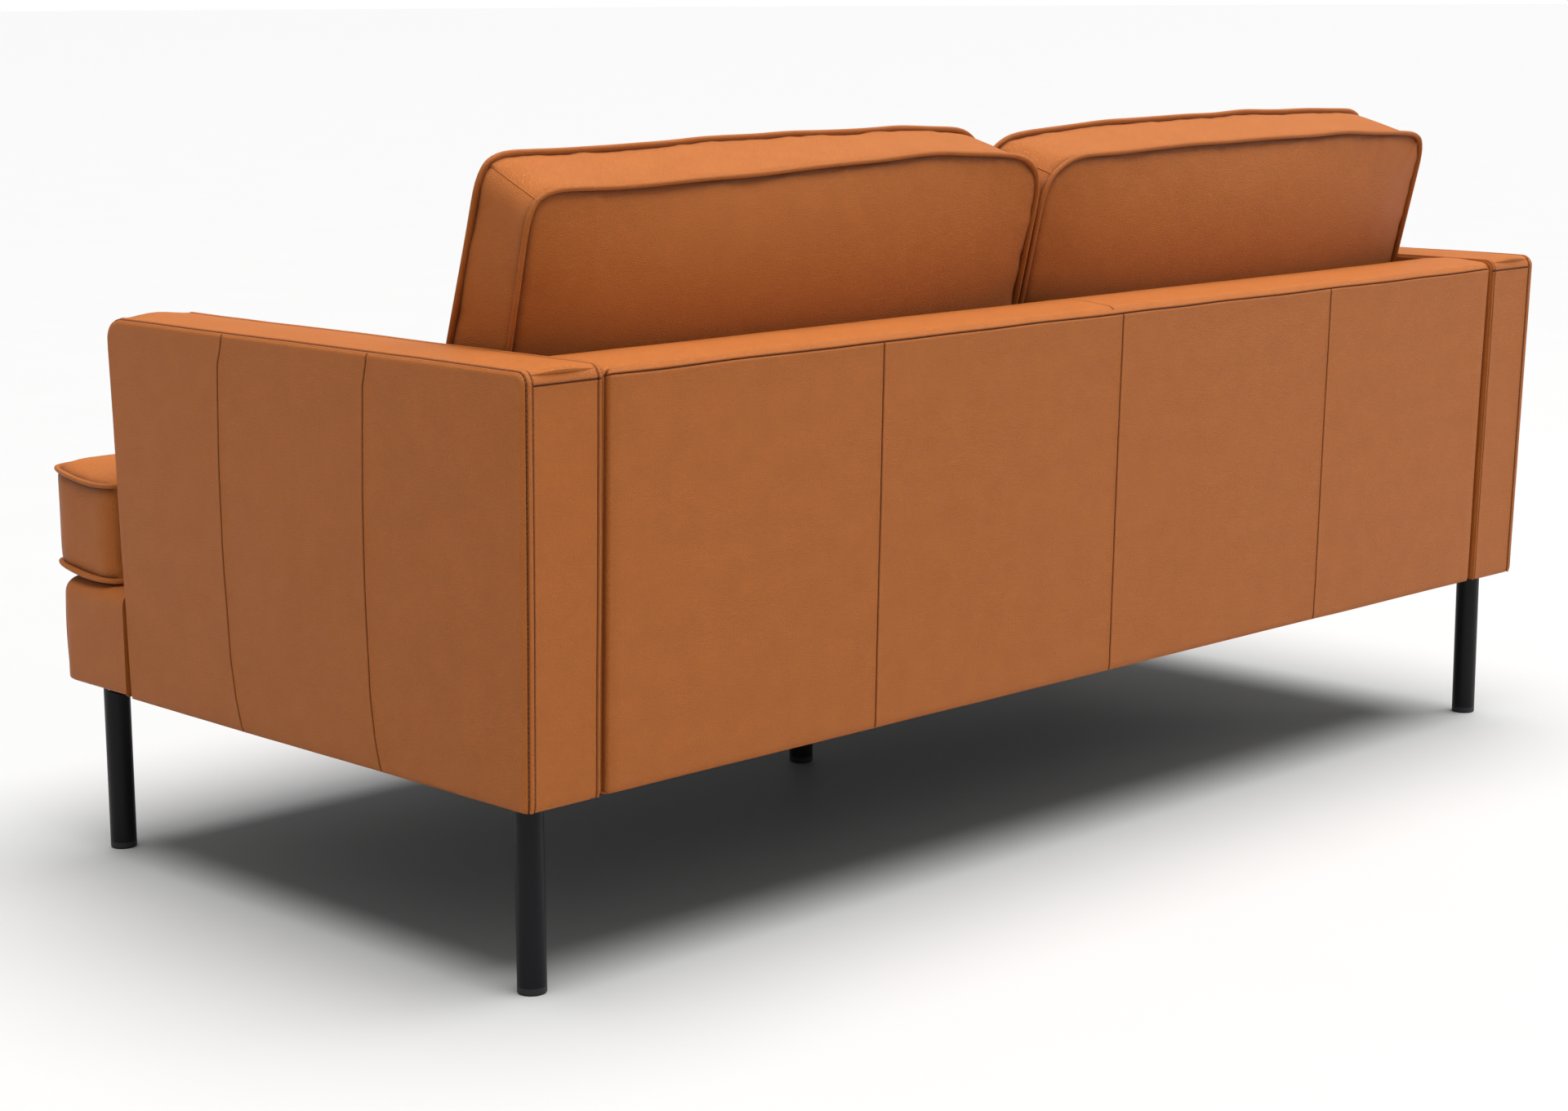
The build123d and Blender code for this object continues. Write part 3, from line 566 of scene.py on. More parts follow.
def arm_relief(raw, world, seed):
    """Height of the leather over the arm's plain form, and painted shade along its seams, welts and
    inner bead.
    """
    u, v, w = raw.T
    height = v / BODY_HEIGHT
    on_side = (w < ON_FACE) | (w > ARM_WIDTH - ON_FACE)
    on_top = (v > BODY_HEIGHT - ON_FACE) & ~on_side
    on_rear = (u > ARM_LENGTH - ON_FACE) & ~on_side
    on_front = (u < ON_FACE) & ~on_side
    band = on_top | on_rear | on_front
    relief = unevenness(world, ((0.0007, 0.16), (0.00025, 0.05)), seed)
    outer = on_side & (w > ARM_WIDTH / 2)
    for seam in ARM_SEAMS:
        relief += np.where(outer, groove(u - seam, SEAM_DEPTH, SEAM_WIDTH), 0.0)
        near = fade(u - seam, SEAM_PUCKER_WIDTH)
        puckers = SEAM_PUCKER * near * waves(u * 0, v, u * 0, 0.013, seed + 2)
        relief += np.where(outer, puckers, 0.0)
    edge = ARM_WIDTH - w
    middle = (WELT_START + WELT_END) / 2
    half = (WELT_END - WELT_START) / 2
    across = np.clip(np.abs(edge - middle) / half, 0, 1)
    welt = WELT_RISE * np.sqrt(1 - across**2)
    # shade is painted shade: darker colour in the grooves of the seams, the welts and the seam beside
    # the inner bead.
    shade = np.where(outer, sum(painted_line_shade(u - seam) for seam in ARM_SEAMS), 0.0)
    shade += np.where(band, painted_line_shade(edge - WELT_START) + painted_line_shade(edge - WELT_END), 0.0)
    shade += np.where(band, 0.8 * painted_line_shade(w - INNER_SEAM), 0.0)
    valleys = groove(edge - WELT_START, 0.0022, 0.0008) + groove(edge - WELT_END, 0.0018, 0.0006)
    relief += np.where(band, welt + valleys, 0.0)
    bead = 0.0014 * fade(w - INNER_BEAD, 0.0018) + groove(w - INNER_SEAM, 0.0014, 0.0008)
    relief += np.where(band, bead, 0.0)
    crown = np.clip(np.minimum(w, ARM_WIDTH - w) / (ARM_WIDTH / 2), 0, 1)
    relief += np.where(on_top | on_front, 0.0045 * smooth(crown), 0.0)
    drop = BODY_HEIGHT - CROSS_SEAM_DROP - v
    cross = smooth((edge - WELT_END) / 0.002)
    relief += np.where(on_rear, cross * groove(drop, 0.0018, SEAM_WIDTH), 0.0)
    # Painted shade in the groove of the cross seam.
    shade += np.where(on_rear, cross * painted_line_shade(drop), 0.0)
    sides = np.sin(math.pi * np.clip(height, 0, 1)) * np.sin(math.pi * np.clip(u / ARM_LENGTH, 0, 1))
    relief += np.where(on_side, 0.002 * sides, 0.0)
    relief -= HEM_TUCK * fade(v, 0.004)
    return relief, shade


def arm_stitch_rows(name, side):
    """Two rows of topstitching, one on each side of the welt."""
    along = [(0.0, v) for v in np.linspace(0.01, BODY_HEIGHT - 0.002, 60)]
    over = [(u, BODY_HEIGHT) for u in np.linspace(0.002, ARM_LENGTH - 0.002, 110)]
    down = [(ARM_LENGTH, v) for v in np.linspace(BODY_HEIGHT - 0.002, 0.006, 70)]
    for row, edge in enumerate((WELT_START, WELT_END)):
        raw = np.array([(u, v, ARM_WIDTH - edge) for u, v in along + over + down])
        world = arm_place(arm_points(raw), side)
        ahead = np.gradient(world, axis=0)
        up = np.cross(ahead, (side, 0, 0)) * side
        up /= np.linalg.norm(up, axis=1, keepdims=True)
        piece = stitches(f"{name}_topstitch_{row + 1}", world + up * 0.0002, up, THREAD)
        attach(piece, "frame")


def make_arm(name, side, seed):
    us = grid_lines(ARM_LENGTH, ARM_SEAMS)
    vs = grid_lines(BODY_HEIGHT, (BODY_HEIGHT - CROSS_SEAM_DROP,))
    ws = grid_lines(ARM_WIDTH, (ARM_WIDTH - WELT_START, ARM_WIDTH - WELT_END, INNER_SEAM), 0.012)
    raw, faces, _ = slab(us, vs, ws)
    open_below = []
    for face in faces:
        corner = raw[face]
        flat = np.all(corner[:, 1] < ON_FACE)
        middle = corner[:, 2].mean()
        if not flat or middle < HEM_WIDTH or middle > ARM_WIDTH - HEM_WIDTH:
            open_below.append(face)
    shifted = raw.copy()
    shifted[:, 0] += arm_seam_shift(raw[:, 0], raw[:, 1] / BODY_HEIGHT)
    world = arm_place(arm_points(shifted), side)
    if side < 0:
        open_below = [face[::-1] for face in open_below]
    outward = side * (raw[:, 2] - ARM_WIDTH / 2)
    open_below, direction = facing_out(world, open_below, 0, outward)
    relief, shade = arm_relief(raw, world, seed)
    world = world + direction * relief[:, None]
    cover(f"arm_{name}_leather", world, open_below, shade,
          [f"arm_{name}_cover", f"arm_{name}_padding"])
    arm_stitch_rows(f"arm_{name}", side)


# ---- Backrest ----

BACK_LENGTH = BACK_HIGH.x - BACK_LOW.x
BACK_RISE = BACK_HIGH.z - HEM
BACK_DEPTH = 0.118
BACK_SEAMS = [seam - BACK_LOW.x for seam in (-0.44, -0.01, 0.41)]
BACK_HEM = 0.012                    # of what is folded under
BAND_SEAM = BACK_SEAMS[1] + 0.015   # across the top band
BAND_SEAM_DROP = 0.0090             # of the seam under that band


def back_place(points):
    """From backrest coordinates (along X, up, forwards) to the row frame."""
    u, v, w = points.T
    z = HEM + v
    inner = np.maximum(lean_y(z, BACKREST_SET_BACK), BACKREST_FOOT)
    y = rear_y(z) - (rear_y(z) - inner) * w / BACK_DEPTH
    return np.stack([BACK_LOW.x + u, y, z], 1)


def back_points(raw):
    sizes = (BACK_LENGTH, BACK_RISE, BACK_DEPTH)
    points = round_edges(raw, sizes, (0.013, 0.014), ("u0", "u1", "v1"), 0.016)
    corners = [(0.0, BACK_RISE, 0.012, -1, 1), (BACK_LENGTH, BACK_RISE, 0.012, 1, 1)]
    u, v = round_corners(points[:, 0], points[:, 1], corners)
    return np.stack([u, v, points[:, 2]], 1)


def back_relief(raw, world, seed):
    # Height of the leather over the backrest's plain form, and painted shade along its seams and
    # where the rear panel tucks in beside the arms.
    u, v, w = raw.T
    on_rear = w < ON_FACE
    on_band = (v > BACK_RISE - ON_FACE) & ~on_rear
    relief = unevenness(world, ((0.0007, 0.18), (0.00025, 0.06)), seed)
    below_band = smooth((BACK_RISE - BAND_SEAM_DROP - v) / 0.002)
    # shade is painted shade: darker colour in the grooves of the seams.
    shade = np.zeros_like(u)
    for seam in BACK_SEAMS:
        shade += np.where(on_rear, below_band * painted_line_shade(u - seam), 0.0)
        relief += np.where(on_rear, below_band * groove(u - seam, SEAM_DEPTH, SEAM_WIDTH), 0.0)
        near = fade(u - seam, SEAM_PUCKER_WIDTH)
        puckers = SEAM_PUCKER * near * waves(u * 0, v, u * 0, 0.014, seed + 2)
        relief += np.where(on_rear, puckers, 0.0)
    wander = 0.0012 * waves(u, u * 0, u * 0, 0.12, seed + 3)
    drop = BACK_RISE - BAND_SEAM_DROP - v + wander
    relief += np.where(on_rear, groove(drop, 0.0020, 0.0008), 0.0)
    shade += np.where(on_rear, painted_line_shade(drop), 0.0)
    crown = np.clip(np.minimum(w, BACK_DEPTH - w) / (BACK_DEPTH / 2), 0, 1)
    relief += np.where(on_band, 0.004 * smooth(crown), 0.0)
    relief += np.where(on_band, groove(u - BAND_SEAM, 0.0018, SEAM_WIDTH), 0.0)
    shade += np.where(on_band, painted_line_shade(u - BAND_SEAM), 0.0)
    relief -= HEM_TUCK * fade(v, 0.004)
    # The rear panel tucks in at its ends beside the arms, and its colour there is darkened by painted
    # shade of the gap.
    tucked = fade(np.minimum(u, BACK_LENGTH - u), 0.007)
    relief -= np.where(on_rear, 0.004 * tucked, 0.0)
    return relief, shade + np.where(on_rear, 0.5 * tucked, 0.0)


def make_backrest():
    us = grid_lines(BACK_LENGTH, BACK_SEAMS + [BAND_SEAM], 0.016)
    vs = grid_lines(BACK_RISE, (BACK_RISE - BAND_SEAM_DROP,))
    ws = grid_lines(BACK_DEPTH, (), 0.012)
    raw, faces, _ = slab(us, vs, ws)
    kept = []
    for face in faces:
        corner = raw[face]
        flat = np.all(corner[:, 1] < ON_FACE)
        if not flat or corner[:, 2].mean() < BACK_HEM:
            kept.append(face)
    world = back_place(back_points(raw))
    kept, direction = facing_out(world, kept, 1, BACK_DEPTH / 2 - raw[:, 2])
    relief, shade = back_relief(raw, world, 21)
    world = world + direction * relief[:, None]
    cover("backrest_leather", world, kept, shade, ["back_cover", "back_padding"])


# ---- Front rail ----

RAIL_LENGTH = RAIL_HIGH.x - RAIL_LOW.x
RAIL_DEPTH = RAIL_HIGH.y - RAIL_LOW.y
RAIL_RISE = RAIL_HIGH.z - RAIL_LOW.z
SEAT_WELL = 0.826                # half its width; the rail is open behind, towards it


def make_front_rail():
    """Leather box that runs across in front of the arms."""
    seams = [RAIL_LENGTH / 2 + offset for offset in (-0.45, 0.0, 0.45)]
    us = grid_lines(RAIL_LENGTH, seams, 0.012)
    vs = grid_lines(RAIL_DEPTH, (), 0.004)
    ws = grid_lines(RAIL_RISE, (), 0.004)
    raw, faces, _ = slab(us, vs, ws)
    doorway = [RAIL_LENGTH / 2 + side * SEAT_WELL for side in (-1, 1)]
    kept = []
    for face in faces:
        corner = raw[face]
        middle = corner.mean(0)
        below = np.all(corner[:, 2] < ON_FACE)
        behind = np.all(corner[:, 1] > RAIL_DEPTH - ON_FACE)
        inside = min(middle[0], RAIL_LENGTH - middle[0], middle[1], RAIL_DEPTH - middle[1])
        if (below and inside > HEM_WIDTH) or (behind and doorway[0] < middle[0] < doorway[1]):
            continue
        kept.append(face)
    sizes = (RAIL_LENGTH, RAIL_DEPTH, RAIL_RISE)
    points = round_edges(raw, sizes, (0.007, 0.022), ("u0", "u1", "v0"), 0.030)
    corners = [(0.0, 0.0, 0.030, -1, -1), (RAIL_LENGTH, 0.0, 0.030, 1, -1)]
    u, v = round_corners(points[:, 0], points[:, 1], corners)
    world = np.stack([RAIL_LOW.x + u, RAIL_LOW.y + v, RAIL_LOW.z + points[:, 2]], 1)
    kept, direction = facing_out(world, kept, 2, raw[:, 2] - RAIL_RISE / 2)
    relief = unevenness(world, ((0.0008, 0.14), (0.0004, 0.05)), 31)
    on_front = raw[:, 1] < ON_FACE
    # Painted shade: darker colour in the grooves of the front seams.
    shade = np.where(on_front, sum(painted_line_shade(raw[:, 0] - seam) for seam in seams), 0.0)
    for seam in seams:
        relief += np.where(on_front, groove(raw[:, 0] - seam, SEAM_DEPTH, SEAM_WIDTH), 0.0)
    rise = np.sin(math.pi * np.clip(raw[:, 2] / RAIL_RISE, 0, 1))
    relief += np.where(on_front, 0.002 * rise, 0.0) - 0.001
    relief -= HEM_TUCK * fade(raw[:, 2], 0.004)
    world = world + direction * relief[:, None]
    cover("front_rail_leather", world, kept, shade, ["front_rail_cover", "front_rail_padding"])


# ---- Cushions ----

PIPING = 0.0031                  # radius of the cord
PIPING_STANDS = 0.0040           # of its centre, out from the seam
PIPING_SINKS = 0.0018            # how deep the seam lies in the leather
MITRE = 0.0008                   # of the seam at a band's corner
PIPING_TAIL = 0.0022             # from the cord in to the seam
SIM_FRAMES = 20
REST_FILL = 6.0                  # pressures
SEAT_FILL = 2.0


def inflate(name, points, faces, rims, pressure, cap, band, band_share):
    """Fills a cushion cover by cloth simulation; returns where its points end up.

    The piped seams hold still, as the cord in them does, and the panels swell between them,
    by no more than cap. The points in band move by only band_share of that.
    """
    mesh = bpy.data.meshes.new(name + "_sim")
    mesh.from_pydata([tuple(p) for p in points], [], [list(f) for f in faces])
    piece = bpy.data.objects.new(name + "_sim", mesh)
    bpy.context.scene.collection.objects.link(piece)
    held = piece.vertex_groups.new(name="piping")
    held.add([corner for rim in rims for corner in rim], 1.0, "REPLACE")
    cloth = piece.modifiers.new("fill", "CLOTH")
    settings = cloth.settings
    settings.quality = 5
    settings.mass = 0.4
    settings.tension_stiffness = 12.0
    settings.compression_stiffness = 12.0
    settings.shear_stiffness = 4.0
    settings.bending_stiffness = 0.6
    settings.use_pressure = True
    settings.uniform_pressure_force = pressure
    settings.vertex_group_mass = "piping"
    settings.effector_weights.gravity = 0.0
    cloth.collision_settings.use_collision = False
    cloth.point_cache.frame_start = 1
    cloth.point_cache.frame_end = SIM_FRAMES
    for step in range(1, SIM_FRAMES + 1):
        bpy.context.scene.frame_set(step)
    graph = bpy.context.evaluated_depsgraph_get()
    filled = piece.evaluated_get(graph).to_mesh()
    moved = np.array([v.co[:] for v in filled.vertices])
    bpy.data.objects.remove(piece)
    bpy.context.scene.frame_set(1)
    shift = np.where(band[:, None], band_share, 1.0) * (moved - points)
    size = np.linalg.norm(shift, axis=1, keepdims=True)
    return points + shift * np.minimum(1.0, cap / np.maximum(size, NOT_ZERO))


def soft_limit(value, limit, side, reach):
    """Keeps value below (side 1) or above (side -1) limit, flattening over the last reach."""
    excess = side * (value - limit) + reach
    pressed = np.where(excess > 0, reach * (1 - np.exp(-np.maximum(excess, 0) / reach)), excess)
    return limit + side * (pressed - reach)


def refined(points, faces, rims, keys):
    """One Catmull-Clark subdivision that keeps the seams along the rims sharp.

    Returns the finer points and faces and the carried keys; the first points are the old ones.
    """
    mesh = bpy.data.meshes.new("refine")
    mesh.from_pydata([tuple(p) for p in points], [], [list(f) for f in faces])
    sharp = {frozenset(pair) for rim in rims for pair in zip(rim, rim[1:] + rim[:1])}
    crease = mesh.attributes.new("crease_edge", "FLOAT", "EDGE")
    for edge in mesh.edges:
        crease.data[edge.index].value = 1.0 if frozenset(edge.vertices) in sharp else 0.0
    carried = mesh.attributes.new("key", "FLOAT_VECTOR", "POINT")
    carried.data.foreach_set("vector", keys.astype(np.float32).ravel())
    piece = bpy.data.objects.new("refine", mesh)
    bpy.context.scene.collection.objects.link(piece)
    smoother = piece.modifiers.new("smooth", "SUBSURF")
    smoother.levels = 1
    smoother.render_levels = 1
    graph = bpy.context.evaluated_depsgraph_get()
    fine = piece.evaluated_get(graph).to_mesh()
    fine_points = np.array([v.co[:] for v in fine.vertices])
    fine_faces = [list(p.vertices) for p in fine.polygons]
    fine_keys = np.array([d.vector[:] for d in fine.attributes["key"].data])
    bpy.data.objects.remove(piece)
    return fine_points, fine_faces, fine_keys


def smooth_line(line, rounds=2):
    for _ in range(rounds):
        line = line * 0.5 + (np.roll(line, 1, 0) + np.roll(line, -1, 0)) * 0.25
    return line


def pucker(keys, sizes, rim_distance, seed, strength):
    """Short creases that run away from the piped seams, and a few long soft ones."""
    u, v, w = keys.T
    length, height, _ = sizes
    near_side = np.minimum(u, length - u)
    near_end = np.minimum(v, height - v)
    along = np.where(near_end < near_side, u, v)
    away = np.where(near_end < near_side, v, u)
    fine = waves(along, away * 0.25, w * 0.25, 0.017, seed)
    broad = waves(along, away * 0.35, w * 0.4, 0.048, seed + 1)
    creases = 0.6 * fine * np.exp(-rim_distance / 0.012) + broad * np.exp(-rim_distance / 0.026)
    lull = smooth(rim_distance / 0.004)
    return strength * lull * creases


def finish_cushion(name, body, points, faces, rims, raw, sizes, seed, nodes, limit, strength, mitres):
    fine, fine_faces, keys = refined(points, faces, rims, raw)
    from_side = np.minimum(keys, np.array(sizes) - keys)
    rim_distance = np.hypot(np.minimum(from_side[:, 0], from_side[:, 1]), from_side[:, 2])
    direction = normals(fine, fine_faces)
    centre = fine.mean(0)
    if ((fine - centre) * direction).sum() < 0:
        direction = -direction
        fine_faces = [face[::-1] for face in fine_faces]
    creases = pucker(keys, sizes, rim_distance, seed, strength)
    broad = 0.0012 * waves(*fine.T, 0.15, seed + 5) * smooth(rim_distance / 0.03)
    # beside_piping sinks the leather next to the cord, and it is also painted shade that darkens the
    # cover's colour in the crease beside the piping.
    beside_piping = fade(rim_distance, 0.006)
    relief = creases + broad - PIPING_SINKS * beside_piping
    fine = limit(fine + direction * relief[:, None])
    cover(name, fine, fine_faces, beside_piping, nodes, body)
    for row, rim in enumerate(rims):
        out = smooth_line(direction[rim])
        out /= np.linalg.norm(out, axis=1, keepdims=True)
        line = limit(smooth_line(fine[rim] + out * PIPING_STANDS))
        cord = tube(f"{name}_piping_{row + 1}", line, PIPING, WELT_LEATHER, -PIPING_TAIL * out)
        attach(cord, body)
    for row, (corner_u, corner_v) in enumerate(mitres):
        there = np.hypot(keys[:, 0] - corner_u, keys[:, 1] - corner_v) < 1e-5
        line = fine[there][np.argsort(keys[there][:, 2])]
        seam = tube(f"{name}_mitre_{row + 1}", line, MITRE, LEATHER, None, False, 6)
        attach(seam, body)


BACKREST_CLEARANCE = 0.004
REST_MARGIN = 0.003              # inside the block of the CAD
REST_OVERHANG = 0.006            # how far a back cushion swells past its block beside an arm
REST_BAND = 0.100                # width of the band between the piped seams
REST_CROWN = 0.028               # of the cut of a panel, before it is filled
REST_TOP = 0.186                 # of the piping, up the lean from LEAN_Z
REST_TOPS = {                    # (from the sofa's middle, rise) of the rear and front piping
    "left": (((0.0, -0.012), (0.065, -0.002), (0.20, 0.007), (0.40, -0.001), (0.65, -0.010)),
             ((0.0, -0.006), (0.065, 0.002), (0.16, 0.007), (0.43, 0.006), (0.65, 0.0))),
    "right": (((0.0, -0.018), (0.06, -0.008), (0.27, -0.001), (0.63, 0.003), (0.78, -0.004)),
              ((0.0, -0.014), (0.08, -0.006), (0.23, 0.001), (0.54, 0.007), (0.78, 0.002))),
}


def make_back_cushion(name, side, seed):
    """Leaning cushion with two piped seams; it is flat only on the backrest and the seat."""
    low_x = REST_LOW.x + REST_MARGIN
    length = REST_HIGH.x + REST_OVERHANG - low_x
    base = (SEAT_HIGH.z + 0.004 - LEAN_Z) / math.cos(LEAN)
    height = REST_TOP - base
    us = grid_lines(length, (), 0.0105, CUSHION_EDGE)
    vs = grid_lines(height, (), 0.0105, CUSHION_EDGE)
    ws = grid_lines(REST_BAND, (), 0.0105, CUSHION_EDGE)
    raw, faces, rims = slab(us, vs, ws)
    corners = [(0, 0, 0.02, -1, -1), (length, 0, 0.02, 1, -1),
               (0, height, 0.046, -1, 1), (length, height, 0.034, 1, 1)]
    u, v = round_corners(raw[:, 0], raw[:, 1], corners)
    share_u, share_v = raw[:, 0] / length, raw[:, 1] / height
    front_share = raw[:, 2] / REST_BAND
    (rear_x, rear_rise), (front_x, front_rise) = (np.array(line).T for line in REST_TOPS[name])
    rise = np.interp(low_x + u, rear_x, rear_rise) * (1 - front_share)
    rise += np.interp(low_x + u, front_x, front_rise) * front_share
    v = v + rise * smooth((share_v - 0.3) / 0.7)
    v = v + 0.0016 * waves(u, u * 0, raw[:, 2] * 0.6, 0.075, seed + 7) * smooth((share_v - 0.5) / 0.5)
    u = u - 0.012 * front_share * smooth((share_u - 0.5) / 0.5) * smooth((share_v - 0.2) / 0.8)

    def place(u_at, v_at, w_at):
        x = side * (low_x + u_at)
        up = base + v_at
        y = LEAN_Y + up * UP_LEAN.y + w_at * OUT_LEAN.y
        z = LEAN_Z + up * UP_LEAN.z + w_at * OUT_LEAN.z
        return np.stack([x, y, z], 1)

    world = place(u, v, raw[:, 2])
    if side < 0:
        faces = [face[::-1] for face in faces]

    in_band = (raw[:, 2] > ON_FACE) & (raw[:, 2] < REST_BAND - ON_FACE)
    crown = (np.sin(math.pi * share_u) * np.sin(math.pi * share_v)).clip(0) ** 0.6
    panel = np.where(in_band, 0.0, np.where(raw[:, 2] < ON_FACE, -1.0, 1.0))
    filled = world + np.outer(panel * crown * REST_CROWN, OUT_LEAN)
    filled = inflate(name, filled, faces, rims, REST_FILL, 0.022, in_band, 0.2)
    rest_plane = BACKREST_SET_BACK - BACKREST_CLEARANCE

    def limit(points):
        points = points.copy()
        behind = LEAN_Y - points[:, 1]
        forward = behind * math.cos(LEAN) + (points[:, 2] - LEAN_Z) * math.sin(LEAN)
        kept = soft_limit(forward, -rest_plane, -1, 0.006)
        points += np.outer(kept - forward, OUT_LEAN)
        points[:, 2] = soft_limit(points[:, 2], SEAT_HIGH.z + 0.0035, -1, 0.006)
        points[:, 0] = side * soft_limit(side * points[:, 0], 0.0035, -1, 0.003)
        points[:, 0] = side * soft_limit(side * points[:, 0], ARM_LOW.x - 0.002, 1, 0.004)
        return points

    nodes = [f"back_cushion_{name}_cover", f"back_cushion_{name}_core"]
    finish_cushion(f"back_cushion_{name}_leather", f"back_cushion_{name}", filled, faces, rims,
                   raw, (length, height, REST_BAND), seed, nodes, limit, 0.0030,
                   [(0.0, height), (length, height)])


SEAT_MARGIN = 0.006              # inside the block of the CAD
SEAT_FRONT_LIFT = 0.010          # how far the piped front edges turn up
SEAT_CROWN = 0.024               # of its top, over the piping
EAR_INNER = 0.823                # the ear in front of an arm starts here
EAR_REAR = -0.317
UNDER_BACK = 0.150               # behind this the back cushion lies on the seat


def make_seat_cushion(name, side, seed):
    """Loose cushion with an ear in front of the arm, piped round its top and bottom."""
    low_x, high_x = SEAT_LOW.x + SEAT_MARGIN * 0.6, SEAT_HIGH.x - SEAT_MARGIN * 0.6
    low_y, high_y = SEAT_LOW.y + SEAT_MARGIN, SEAT_HIGH.y - SEAT_MARGIN
    length, depth = high_x - low_x, high_y - low_y
    bottom, top = SEAT_LOW.z + 0.0045, SEAT_HIGH.z - 0.007
    thick = top - bottom
    notch_u, notch_v = EAR_INNER - 0.003 - low_x, EAR_REAR - 0.003 - low_y
    us = grid_lines(length, (), 0.0135, CUSHION_EDGE)
    vs = grid_lines(depth, (), 0.0135, CUSHION_EDGE)
    us = np.unique(np.r_[us[np.abs(us - notch_u) > 0.005], notch_u])
    vs = np.unique(np.r_[vs[np.abs(vs - notch_v) > 0.005], notch_v])
    ws = grid_lines(thick, (), 0.0125, CUSHION_EDGE)
    raw, faces, rims = slab(us, vs, ws, lambda u, v: u < notch_u or v < notch_v)
    corners = [(0, 0, 0.016, -1, -1), (length, 0, 0.034, 1, -1), (length, notch_v, 0.028, 1, 1),
               (notch_u, depth, 0.020, 1, 1), (0, depth, 0.014, -1, 1)]
    u, v = round_corners(raw[:, 0], raw[:, 1], corners)
    lift = SEAT_FRONT_LIFT * smooth((0.10 - raw[:, 1]) / 0.10)
    world = np.stack([side * (low_x + u), low_y + v, bottom + raw[:, 2] + lift], 1)
    if side < 0:
        faces = [face[::-1] for face in faces]
    in_band = (raw[:, 2] > ON_FACE) & (raw[:, 2] < thick - ON_FACE)
    inside = np.minimum(np.minimum(raw[:, 0], length - raw[:, 0]), raw[:, 1])
    beside = np.where(raw[:, 1] > notch_v, notch_u - raw[:, 0], np.hypot(
        np.maximum(notch_u - raw[:, 0], 0), notch_v - raw[:, 1]))
    inside = np.minimum(np.minimum(inside, np.abs(beside)), depth - raw[:, 1])
    crown = np.where(raw[:, 2] > thick - ON_FACE, 1 - np.exp(-np.maximum(inside, 0) / 0.030), 0.0)
    filled = world.copy()
    filled[:, 2] += SEAT_CROWN * crown
    filled = inflate(name, filled, faces, rims, SEAT_FILL, 0.016, in_band, 0.3)
    def limit(points):
        points = points.copy()
        points[:, 2] = soft_limit(points[:, 2], SEAT_LOW.z + 0.001, -1, 0.004)
        covered = smooth((points[:, 1] - UNDER_BACK + 0.06) / 0.06)
        ceiling = SEAT_HIGH.z + SEAT_CROWN * (1 - covered)
        points[:, 2] = soft_limit(points[:, 2], ceiling, 1, 0.010)
        points[:, 0] = side * soft_limit(side * points[:, 0], 0.0015, -1, 0.003)
        points[:, 0] = side * soft_limit(side * points[:, 0], SEAT_HIGH.x + 0.004, 1, 0.006)
        points[:, 1] = soft_limit(points[:, 1], SEAT_HIGH.y - 0.001, 1, 0.006)
        points[:, 1] = soft_limit(points[:, 1], SEAT_LOW.y - 0.003, -1, 0.006)
        beside = smooth((points[:, 1] - EAR_REAR - 0.004) / 0.012)
        held = side * soft_limit(side * points[:, 0], EAR_INNER + 0.0005, 1, 0.004)
        points[:, 0] += beside * (held - points[:, 0])
        return points

    nodes = [f"seat_cushion_{name}_cover", f"seat_cushion_{name}_core"]
    finish_cushion(f"seat_cushion_{name}_leather", f"seat_cushion_{name}", filled, faces, rims,
                   raw, (length, depth, thick), seed, nodes, limit, 0.0016, [])


# ---- Cloths ----

CLOTH_CELLS = (120, 60)
CLOTH_SAG = 0.0008
LEG_HOLE = 0.030                 # half its side
DUST_CORNER = 0.016              # cut off the sheet where the rail's corner is rounded
ARM_FRONT_GAP = 0.018            # round the joint of the rail and an arm

def cloth_sheet(name, low, high, level, keep, sag_scale, node):
    """Stretched black cloth on a grid, dipping slightly between what holds it."""
    columns, rows = CLOTH_CELLS
    us = np.arange(low[0], high[0] + ON_FACE, (high[0] - low[0]) / columns)
    vs = np.arange(low[1], high[1] + ON_FACE, (high[1] - low[1]) / rows)
    index, points, faces = {}, [], []
    for i in range(len(us) - 1):
        for j in range(len(vs) - 1):
            if not keep((us[i] + us[i + 1]) / 2, (vs[j] + vs[j + 1]) / 2):
                continue
            ring = [(i, j), (i + 1, j), (i + 1, j + 1), (i, j + 1)]
            for corner in ring:
                if corner not in index:
                    index[corner] = len(points)
                    x, y = us[corner[0]], vs[corner[1]]
                    dip = CLOTH_SAG * noise.noise(Vector((x / sag_scale, y / sag_scale, 0.37)))
                    points.append((x, y, level + dip))
            faces.append([index[corner] for corner in ring])
    piece = mesh_object(name, points, faces, BLACK_CLOTH)
    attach(piece, "frame")
    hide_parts(node)


